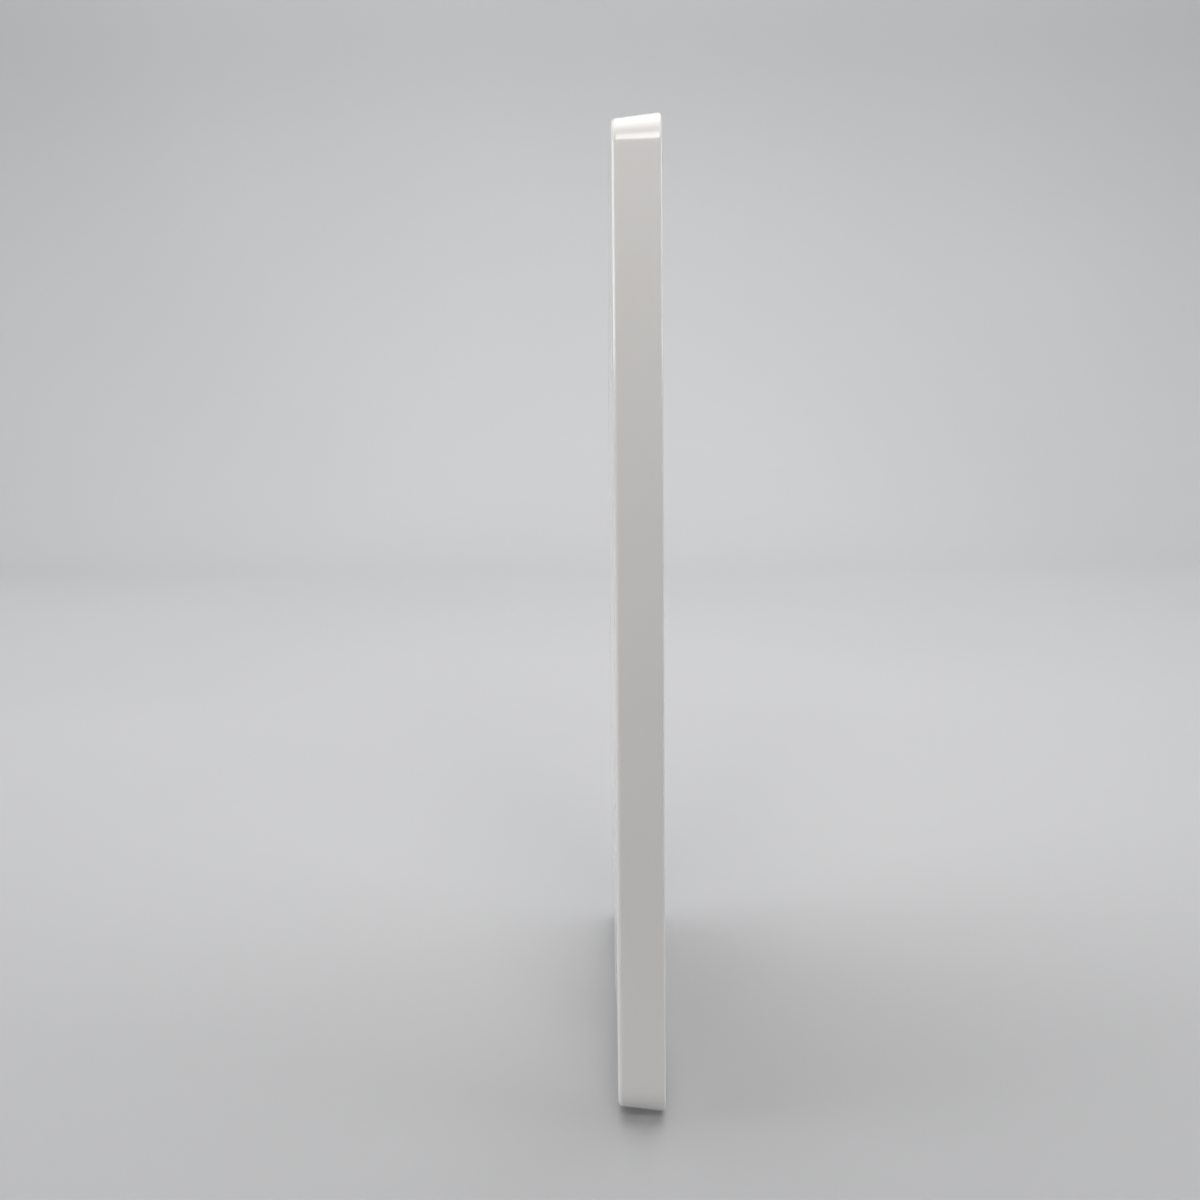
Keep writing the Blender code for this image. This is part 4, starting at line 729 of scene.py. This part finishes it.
def cover_blocks():
    """What stands on the inside of the back: dome, pocket wells and screw posts."""
    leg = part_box("kickstand")[1].x + GAP
    floor = leg_front() - GAP
    weld = INNER_BACK + WELD
    well = leg + POCKET_WALL
    low, top = COVER_LOW.z + SIDE_WALL + WELD, HINGE.z + BARREL + GAP + POCKET_WALL
    pocket = box(bmesh.new(), (-well, well), (floor - POCKET_FLOOR, weld), (low, top))

    block = leg + HINGE_BLOCK
    trough = depth_of(HINGE.y) - BARREL - GAP - TROUGH_FLOOR
    reach = BARREL + POCKET_WALL
    rise = (HINGE.z - reach, HINGE.z + reach + GAP + WELD)
    hinge = box(bmesh.new(), (-block, block), (trough, weld), rise)

    edge = NOTCH_RADIUS + POCKET_WALL
    rise = (NOTCH_HEIGHT - edge, NOTCH_HEIGHT + edge)
    notch = box(bmesh.new(), (leg, leg + edge), (floor - NOTCH_FLOOR, weld), rise)

    plate_low, plate_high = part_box("hanger_plate")
    wide = plate_high.x + GAP + POCKET_WALL
    deep = depth_of(plate_low.y) - GAP - KEYHOLE_DEPTH - POCKET_FLOOR
    rise = (plate_low.z - GAP - POCKET_WALL, plate_high.z + GAP + POCKET_WALL)
    hanger_well = box(bmesh.new(), (-wide, wide), (deep, weld), rise)

    posts = bmesh.new()
    for _, x, z, _ in screw_axes():
        turned(posts, "y", (x, FRONT, z), [(POST_START, POST_RADIUS), (weld, POST_RADIUS)])
    return [back_crown(), pocket, hinge, notch, hanger_well, posts]


def leg_cuts():
    """The leg's pocket, its barrel's trough and mouth, the finger notch, and the pin's bore."""
    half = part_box("kickstand")[1].x + GAP
    floor = leg_front() - GAP
    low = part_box("kickstand_pad")[0].z - GAP
    size = (2 * half, HINGE.z - low)
    pocket = recess(bmesh.new(), *size, POCKET_CORNER, (0, low + size[1] / 2), floor, foot=POCKET_FOOT)
    barrel = BARREL + GAP
    trough = turned(bmesh.new(), "x", (-half, HINGE.y, HINGE.z), [(0, barrel), (2 * half, barrel)])
    mouth = recess(bmesh.new(), 2 * half, 2 * barrel, MOUTH_CORNER, (0, HINGE.z), depth_of(HINGE.y))
    profile = [(floor, SCOOP_CENTRE)]
    for turn in quarter(6):
        side = NOTCH_RADIUS - SCOOP_ROUND * (1 - math.sin(turn))
        profile.append((floor + SCOOP_ROUND * (1 - math.cos(turn)), side))
    surface = back_depth(half, NOTCH_HEIGHT)
    for turn in quarter(LIP_STEPS):
        profile.append((surface - LIP + LIP * math.sin(turn), NOTCH_RADIUS + LIP * (1 - math.cos(turn))))
    profile.append((DEPTH + PAST, NOTCH_RADIUS + LIP))
    scoop = turned(bmesh.new(), "y", (half, FRONT, NOTCH_HEIGHT), profile, 64)
    reach = half + PIN_REACH + GAP
    hole = PIN + BORE_GAP
    bore = turned(bmesh.new(), "x", (-reach, HINGE.y, HINGE.z), [(0, hole), (2 * reach, hole)], 24)
    return [pocket, trough, mouth, scoop], bore


def hanger_cuts():
    """The hanger plate's seat and the room for a screw's head behind its keyhole."""
    low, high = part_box("hanger_plate")
    seat = depth_of(low.y) - GAP
    middle = (low.z + high.z) / 2
    size = (2 * (high.x + GAP), high.z - low.z + 2 * GAP)
    plate = recess(bmesh.new(), *size, HANGER_CORNER + GAP, (0, middle), seat)
    head = KEYHOLE_RADIUS + GAP
    half = KEYHOLE_RISE / 2 + KEYHOLE_RADIUS
    rise = (middle - half - GAP, middle + half)
    room = box(bmesh.new(), (-head, head), (seat - KEYHOLE_DEPTH, seat + GAP), rise)
    return [plate, room]


def screw_bores():
    """Four bores with seats for the screw heads."""
    bores = bmesh.new()
    rim = HEAD_BORE + HEAD_CHAMFER
    for _, x, z, head_end in screw_axes():
        start = head_end - SCREW_HEAD - GAP
        surface = back_depth(x, z)
        profile = [(BORE_START, BORE), (start, BORE), (start, HEAD_BORE), (surface - HEAD_CHAMFER, HEAD_BORE),
                   (surface, rim), (DEPTH + PAST, rim)]
        turned(bores, "y", (x, FRONT, z), profile)
    return bores


def back_slots():
    """The vent and grille slots through the back."""
    slots = bmesh.new()
    corner = SLOT_WIDTH / 2 - OVAL_SLACK
    for x, z, length, count, pitch in slot_places():
        for index in range(count):
            centre = (x + (index - (count - 1) / 2) * pitch, z)
            recess(slots, SLOT_WIDTH, length, corner, centre, INNER_BACK - PAST, SMALL_LIP, steps=6)
    return slots


def wall_openings():
    """The openings for the inlet, the card slot and the three caps."""
    openings = bmesh.new()
    low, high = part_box("usb_c_socket")
    size = (high.y - low.y + 2 * GAP, high.z - low.z + 2 * GAP)
    side_opening(openings, depth_of((low.y + high.y) / 2), (low.z + high.z) / 2, *size)
    low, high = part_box("card_socket")
    size = (CARD_SLOT, high.z - low.z - 2 * CARD_MARGIN)
    side_opening(openings, depth_of((low.y + high.y) / 2), (low.z + high.z) / 2, *size)
    for name in KEYS:
        depth, z, thickness, length = key_size(name)
        side_opening(openings, depth, z, thickness + 2 * GAP, length + 2 * GAP, SMALL_LIP)
    return openings


def foot_seats():
    """The notches in the lower wall that the feet sit in."""
    seats = bmesh.new()
    for name in ("foot_left", "foot_right"):
        low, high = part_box(name)
        start, end = depth_of(low.y) - GAP, depth_of(high.y) + GAP
        foot_wedge(seats, (low.x - GAP, high.x + GAP), start, end, GAP, -PAST)
    return seats


def rear_cover():
    """The glossy tray with every pocket, bore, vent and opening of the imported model."""
    pocket_cuts, pin_bore = leg_cuts()
    cuts = [*pocket_cuts, *hanger_cuts(), pin_bore]
    cuts += [screw_bores(), back_slots(), wall_openings(), foot_seats()]
    changes = [("UNION", block) for block in cover_blocks()] + [("DIFFERENCE", cut) for cut in cuts]
    cover = build("cover_moulding", cover_shell(), changes)
    finish(cover, GLOSS, "case", "casing", "rear_cover")


def foot_wedge(shape, x, start, end, lift, bottom):
    """A block from a flat bottom up to a seat that follows the drafted lower wall."""
    rings = []
    for edge in x:
        ring = [(edge, FRONT + start, bottom), (edge, FRONT + end, bottom)]
        for depth in (end, start):
            ring.append((edge, FRONT + depth, COVER_LOW.z + wall_inset(depth) + FOOT_SINK + lift))
        rings.append(ring)
    return skin(shape, rings)


def front_bezel():
    """The flush front frame: a fine seam to the tray, a rounded outer edge and a rounded window."""
    outer = SIDE_WALL + SEAM
    shape = bmesh.new()
    outside = [(BEZEL, outer)]
    for turn in quarter(LIP_STEPS):
        outside.append((SMALL_LIP * (1 - math.sin(turn)), outer + SMALL_LIP * (1 - math.cos(turn))))
    skin(shape, [at_depth(body_outline(inset), depth) for depth, inset in outside])
    window = bmesh.new()
    cutter = [(-PAST, WINDOW_CHAMFER), (0, WINDOW_CHAMFER)]
    for turn in quarter(ROUND_STEPS)[1:]:
        cutter.append((WINDOW_CHAMFER * (1 - math.cos(turn)), WINDOW_CHAMFER * (1 - math.sin(turn))))
    cutter.append((BEZEL + PAST, 0))
    outlines = []
    for depth, grow in cutter:
        size = (WINDOW[0] + 2 * grow, WINDOW[1] + 2 * grow)
        points = rounded(*size, WINDOW_CORNER + grow, None, 8)
        outlines.append(at_depth(points, depth))
    skin(window, outlines)
    bezel = build("bezel_moulding", shape, [("DIFFERENCE", window)])
    finish(bezel, GLOSS, "case", "casing", "front_bezel")


# ---------------------------------------------------------------- Keys, sockets, feet and screws


KEYS = {
    "power_button": "power_key",
    "volume_down_button": "volume_down_key",
    "volume_up_button": "volume_up_key",
}


def key_size(name):
    """Depth, height, thickness and length of a key's cap."""
    low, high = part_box(name)
    depth = depth_of((low.y + high.y) / 2)
    thickness = high.y - low.y - 2 * FLANGE_LIP
    return depth, (low.z + high.z) / 2, thickness, high.z - low.z - 2 * FLANGE_LIP


def keys():
    """Three satin caps with pillowed edges that follow the drafted wall, each with its flange."""
    for name, body in KEYS.items():
        depth, z, thickness, length = key_size(name)
        low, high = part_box(name)
        proud = high.x - wall_x(depth)
        rings = [(low.x + FLANGE / 2 - wall_x(depth), 0)]
        for turn in quarter(ROUND_STEPS):
            place = proud - KEY_ROUND + KEY_ROUND * math.sin(turn)
            rings.append((place, KEY_ROUND * (1 - math.cos(turn))))
        outlines = []
        for place, shrink in rings:
            points = oval(thickness - 2 * shrink, length - 2 * shrink, (depth, z), 12)
            outlines.append([(wall_x(near) + place, FRONT + near, height) for near, height in points])
        cap = skin(bmesh.new(), outlines)
        points = oval(thickness + 2 * FLANGE_LIP, length + 2 * FLANGE_LIP, (depth, z), 8)
        faces = [[(x, FRONT + near, height) for near, height in points] for x in (low.x, low.x + FLANGE)]
        flange = skin(bmesh.new(), faces)
        piece = build(f"{name}_cap", cap, [("UNION", flange)])
        finish(piece, SATIN, body, "button", name)


def usb_socket():
    """The drawn steel shell of the power inlet, its black tongue and its contacts."""
    low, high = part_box("usb_c_socket")
    y, z = (low.y + high.y) / 2, (low.z + high.z) / 2
    thickness, width = high.y - low.y, high.z - low.z

    def ring(x, points):
        return [(x, near, height) for near, height in points]

    sheet, lip = 0.3 * MM, 0.12 * MM
    bevel = lip * BEVEL_SHARE
    shell = [(low.x, 0.1 * MM), (low.x + lip, 0), (high.x - lip, 0), (high.x - bevel, bevel), (high.x, lip),
             (high.x - bevel, sheet - 0.04 * MM), (high.x - lip, sheet), (low.x + 1 * MM, sheet)]
    rings = [ring(x, oval(thickness - 2 * shrink, width - 2 * shrink, (y, z), 12)) for x, shrink in shell]
    finish(build("usb_shell", skin(bmesh.new(), rings)), STEEL_ACROSS, "case", "steel", "usb_c_socket")
    half, wide = 0.33 * MM, 3.2 * MM
    start, end = low.x + 1.05 * MM, high.x - 0.9 * MM
    rings = []
    for x, shrink in ((start, 0), (end - 0.15 * MM, 0), (end, 0.12 * MM)):
        rings.append(ring(x, rounded(2 * (half - shrink), 2 * (wide - shrink), 0.15 * MM, (y, z), 4)))
    finish(build("usb_tongue", skin(bmesh.new(), rings)), CHIP, "case", "chip")
    pads = bmesh.new()
    count, pitch, pad = 12, 0.5 * MM, 0.13 * MM
    for side in (-1, 1):
        depths = sorted(depth_of(y + side * reach) for reach in (half - 0.02 * MM, half + 0.03 * MM))
        for index in range(count):
            place = z + (index - (count - 1) / 2) * pitch
            box(pads, (end - 3.6 * MM, end - 0.3 * MM), depths, (place - pad, place + pad))
    finish(build("usb_contacts", pads), GOLD, "case", "steel")


def feet():
    """Rubber feet with rounded edges and grip ribs under them."""
    soft = RUBBER_ROUND
    for name in ("foot_left", "foot_right"):
        low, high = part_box(name)
        start, end = depth_of(low.y), depth_of(high.y)
        shape = foot_wedge(bmesh.new(), (low.x, high.x), start, end, 0, 0)
        bmesh.ops.recalc_face_normals(shape, faces=shape.faces)
        edges = list(shape.edges)
        bmesh.ops.bevel(shape, geom=edges, offset=soft, segments=3, profile=0.5, affect="EDGES")
        grooves = bmesh.new()
        for index in range(1, FOOT_RIBS):
            x = low.x + (high.x - low.x) * index / FOOT_RIBS
            box(grooves, (x - soft, x + soft), (start - PAST, end + PAST), (-PAST, soft))
        finish(build(f"{name}_pad", shape, [("DIFFERENCE", grooves)]), RUBBER, "case", "rubber", name)


def screws():
    """Case screws with domed, cross-cut heads."""
    dome = 0.55
    for corner, x, z, end in screw_axes():
        low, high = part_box(f"case_screw_{corner}")
        radius = (high.x - low.x) / 2
        tip, under = depth_of(low.y), end - SCREW_HEAD
        profile = [(tip, 0.6 * SCREW_SHANK), (tip + 0.5 * MM, SCREW_SHANK), (under, SCREW_SHANK)]
        profile += [(under, radius), (end - SCREW_HEAD * dome, radius)]
        for turn in quarter(8)[1:]:
            fall, out = SCREW_HEAD * dome * (1 - math.sin(turn)), 1 - dome + dome * math.cos(turn)
            profile.append((end - fall, radius * out))
        shape = turned(bmesh.new(), "y", (x, FRONT, z), profile)
        bars = []
        for long, short in ((1.05, 0.2), (0.2, 1.05)):
            rings = []
            for depth, taper in ((end + PAST, 1.0), (end - 0.1 * MM, 0.95), (end - 0.75 * MM, 0.45)):
                wide, tall = long * taper * MM, short * taper * MM
                signs = ((-1, -1), (1, -1), (1, 1), (-1, 1))
                rings.append(at_depth([(x + right * wide, z + up * tall) for right, up in signs], depth))
            bars.append(skin(bmesh.new(), rings))
        piece = build(f"case_screw_{corner}_fine", shape, [("DIFFERENCE", bar) for bar in bars])
        finish(piece, SCREW_STEEL, "case", "steel", f"case_screw_{corner}")


# ---------------------------------------------------------------- Leg and hanger


def kickstand():
    """The folding leg with soft edges, tapered to its tip, and its barrel."""
    low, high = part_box("kickstand")
    half = high.x
    front = leg_front()
    top = HINGE.z - BARREL - GAP
    back = front + LEG_THICKNESS
    soft = LEG_ROUND / 2

    def ring(shrink, depth, tapered):
        size = (2 * (half - shrink), top - low.z - 2 * shrink)
        points = rounded(*size, LEG_CORNER - shrink, (0, (low.z + top) / 2), 12)
        fall = LEG_TAPER / (HINGE.z - LEG_TIP) if tapered else 0
        return [(x, FRONT + depth - fall * (HINGE.z - z), z) for x, z in points]

    rings = []
    for turn in quarter(LIP_STEPS):
        rings.append(ring(soft * (1 - math.sin(turn)), front + soft * (1 - math.cos(turn)), False))
    for turn in quarter(ROUND_STEPS):
        rings.append(ring(LEG_ROUND * (1 - math.cos(turn)), back - LEG_ROUND * (1 - math.sin(turn)), True))
    leg = skin(bmesh.new(), rings)
    barrel = half - BARREL_SETBACK
    neck = box(bmesh.new(), (-barrel + WELD, barrel - WELD), (front, back - 0.1 * MM), (top - WELD, HINGE.z))
    edge, length = 0.2 * MM, 2 * barrel
    profile = [(0, BARREL - edge), (edge, BARREL), (length - edge, BARREL), (length, BARREL - edge)]
    rod = turned(bmesh.new(), "x", (-barrel, HINGE.y, HINGE.z), profile)
    hole = PIN + BORE_GAP
    bore = turned(bmesh.new(), "x", (-length, HINGE.y, HINGE.z), [(0, hole), (2 * length, hole)], 24)
    changes = [("UNION", neck), ("UNION", rod), ("DIFFERENCE", bore)]
    piece = build("kickstand_leg_moulding", leg, changes)
    finish(piece, GLOSS, "kickstand_leg", "casing", "kickstand")


def leg_tip():
    """The ribbed rubber tip under the leg."""
    low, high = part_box("kickstand_pad")
    rings = []
    soft = RUBBER_ROUND
    bevel = soft * BEVEL_SHARE
    start, end = depth_of(low.y), depth_of(high.y)
    edges = [(start, soft), (start + bevel, bevel), (start + soft, 0)]
    edges += [(end - soft, 0), (end - bevel, bevel), (end, soft)]
    for depth, shrink in edges:
        size = (high.x - low.x - 2 * shrink, high.z - low.z - 2 * shrink)
        points = rounded(*size, 1 * MM - shrink, (0, (low.z + high.z) / 2), 6)
        rings.append(at_depth(points, depth))
    grooves = bmesh.new()
    for index in range(1, TIP_RIBS):
        x = low.x + (high.x - low.x) * index / TIP_RIBS
        box(grooves, (x - TIP_GROOVE, x + TIP_GROOVE), (0, DEPTH + PAST), (low.z - PAST, low.z + 0.3 * MM))
    pad = build("kickstand_tip", skin(bmesh.new(), rings), [("DIFFERENCE", grooves)])
    finish(pad, RUBBER, "kickstand_leg", "rubber", "kickstand_pad")


def hanger():
    """The steel keyhole plate with rolled edges."""
    low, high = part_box("hanger_plate")
    start, end = depth_of(low.y), depth_of(high.y)
    middle = (low.z + high.z) / 2
    edge, lip = 0.12 * MM, 0.15 * MM
    bevel = edge * BEVEL_SHARE
    edges = [(start, edge), (start + edge, 0), (end - edge, 0), (end - bevel, bevel), (end, edge)]
    rings = []
    for depth, shrink in edges:
        size = (2 * (high.x - shrink), high.z - low.z - 2 * shrink)
        rings.append(at_depth(rounded(*size, HANGER_CORNER - shrink, (0, middle), 12), depth))
    plate = skin(bmesh.new(), rings)
    bevel = lip * BEVEL_SHARE
    grown = [(start - PAST, 0), (end - lip, 0), (end - bevel, bevel), (end, lip), (end + PAST, lip)]
    hole = [(depth, KEYHOLE_RADIUS + grow) for depth, grow in grown]
    cuts = [turned(bmesh.new(), "y", (0, FRONT, middle - KEYHOLE_RISE / 2), hole, 64)]
    length = KEYHOLE_RISE + KEYHOLE_SLOT
    rings = []
    for depth, grow in grown:
        points = oval(KEYHOLE_SLOT + 2 * grow, length + 2 * grow, (0, middle), 16)
        rings.append(at_depth(points, depth))
    cuts.append(skin(bmesh.new(), rings))
    piece = build("hanger_plate_fine", plate, [("DIFFERENCE", cut) for cut in cuts])
    finish(piece, STEEL, "case", "steel", "hanger_plate")


# ---------------------------------------------------------------- Carried-over nodes


CARRIED = {
    "touch_glass": GLASS,
    "lcd_cell": CELL,
    "optical_film": SHEET,
    "light_guide": SHEET,
    "reflector_sheet": FOIL,
    "led_strip": MATT,
    "panel_frame": MATT,
    "display_connector": MATT,
    "panel_chassis": STEEL,
    "shield_can": STEEL,
    "wifi_module": STEEL,
    "backup_cell": STEEL_ACROSS,
    "card_socket": STEEL_ACROSS,
    "power_switch": STEEL_ACROSS,
    "volume_down_switch": STEEL_ACROSS,
    "volume_up_switch": STEEL_ACROSS,
    "hinge_pin": SCREW_STEEL,
    "hinge_washer_left": SCREW_STEEL,
    "hinge_washer_right": SCREW_STEEL,
    "main_board": BOARD,
    "button_board": BOARD,
    "antenna": BOARD,
    "processor": CHIP,
    "speaker_left": CLOTH,
    "speaker_right": CLOTH,
    "speaker_lead_left": INSULATION,
    "speaker_lead_right": INSULATION,
    "antenna_lead": INSULATION,
    "button_lead": INSULATION,
    "display_cable": FLEX,
    "touch_cable": FLEX,
}


def carried_nodes():
    """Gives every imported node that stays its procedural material."""
    for name, node in frame["nodes"].items():
        material = CARRIED.get(name)
        if name.startswith(("clip_screw", "board_screw")):
            material = SCREW_STEEL
        elif name.startswith("panel_clip"):
            material = STEEL
        if material:
            node.data.materials.clear()
            node.data.materials.append(material)


# ---------------------------------------------------------------- Stage, light and camera


def sweep():
    """A pale table that curves up into a plain backdrop."""
    shape = bmesh.new()
    near, far, side, radius, top = -1.6, 1.5, 2.6, 0.5, 2.4
    profile = [(near, 0)]
    for turn in quarter(24):
        profile.append((far - radius + radius * math.sin(turn), radius * (1 - math.cos(turn))))
    profile.append((far, top))
    rows = [[shape.verts.new((x, y, z)) for x, z in profile] for y in (-side, side)]
    for index in range(len(profile) - 1):
        shape.faces.new((rows[0][index], rows[0][index + 1], rows[1][index + 1], rows[1][index]))
    mesh = bpy.data.meshes.new("studio_sweep")
    shape.to_mesh(mesh)
    shape.free()
    mesh.shade_smooth()
    floor = link("studio_sweep", mesh)
    floor.data.materials.append(studio_card())


def softbox(name, place, target, size, power, colour, spread):
    """A rectangular soft light that faces a point, its beam limited to an angle in degrees."""
    light = bpy.data.lights.new(name, "AREA")
    light.shape = "RECTANGLE"
    light.size, light.size_y = size
    light.energy = power
    light.color = colour
    light.spread = math.radians(spread)
    obj = bpy.data.objects.new(name, light)
    obj.location = place
    obj.rotation_euler = (Vector(target) - Vector(place)).to_track_quat("-Z", "Y").to_euler()
    bpy.context.scene.collection.objects.link(obj)


# Name, place, target, size, watts, colour and beam angle in degrees of each soft light
SOFTBOXES = [
    ("key_softbox", (-0.80, 0.0, 0.92), (-0.086, 0, 0.50), (0.6, 0.6), 1.04, (1, 0.965, 0.935), 50),
    ("overhead_softbox", (-0.25, 0.0, 1.5), (-0.25, 0, 0), (0.4, 1.8), 3.3, (1, 0.99, 0.98), 180),
    ("fill_softbox", (0.4, 0.0, 1.6), (0.4, 0, 0), (1.0, 2.4), 7.5, (1, 1, 1), 180),
    ("far_softbox", (0.8, 0.0, 1.8), (0.8, 0, 0), (1.6, 0.6), 6.5, (1, 1, 1), 180),
    ("back_softbox", (-0.15, 1.6, 0.40), (0, 0, 0.15), (1.2, 0.5), 10, (1, 1, 1), 180),
    ("front_softbox", (-0.15, -1.6, 0.40), (0, 0, 0.15), (1.2, 0.5), 8, (1, 1, 1), 180),
    ("backdrop_softbox", (0.6, 0.0, 1.7), (1.5, 0, 0.4), (2.4, 0.5), 12, (1, 1, 1), 180),
]
ROOM_COLOUR = (0.97, 0.985, 1.0, 1)
ROOM_STRENGTH = 0.13


def lights():
    """A warm key above the camera, lights over and beside the frame, and light on the backdrop."""
    for settings in SOFTBOXES:
        softbox(*settings)
    world = bpy.data.worlds.new("pale_room")
    world.use_nodes = True
    background = world.node_tree.nodes["Background"]
    background.inputs["Color"].default_value = ROOM_COLOUR
    background.inputs["Strength"].default_value = ROOM_STRENGTH
    bpy.context.scene.world = world


CAMERA_PLACE = Vector((-0.5314, 0.0080, 0.2033))
CAMERA_YAW = math.radians(0.145)
CAMERA_PITCH = math.radians(8.52)
CAMERA_ROLL = math.radians(-0.525)
FOCAL_SHARE = 1838 / 1200
SENSOR = 36


def camera():
    """A view of the left-hand wall, edge-on, from above its middle and slightly down."""
    yaw, pitch, roll = CAMERA_YAW, CAMERA_PITCH, CAMERA_ROLL
    forward = Vector((math.cos(yaw) * math.cos(pitch), math.sin(yaw) * math.cos(pitch), -math.sin(pitch)))
    right = Vector((math.sin(yaw), -math.cos(yaw), 0))
    up = right.cross(forward)
    turned_right = right * math.cos(roll) + up * math.sin(roll)
    turned_up = up * math.cos(roll) - right * math.sin(roll)
    data = bpy.data.cameras.new("view_camera")
    data.sensor_width = SENSOR
    data.lens = FOCAL_SHARE * SENSOR
    data.clip_start = 0.01
    data.clip_end = 20
    obj = bpy.data.objects.new("view_camera", data)
    matrix = Matrix((turned_right, turned_up, -forward)).transposed().to_4x4()
    matrix.translation = CAMERA_PLACE
    obj.matrix_world = matrix
    bpy.context.scene.collection.objects.link(obj)
    bpy.context.scene.camera = obj
    bpy.context.scene.view_settings.view_transform = "Standard"


rear_cover()
front_bezel()
keys()
usb_socket()
feet()
screws()
kickstand()
leg_tip()
hanger()
carried_nodes()
sweep()
lights()
camera()
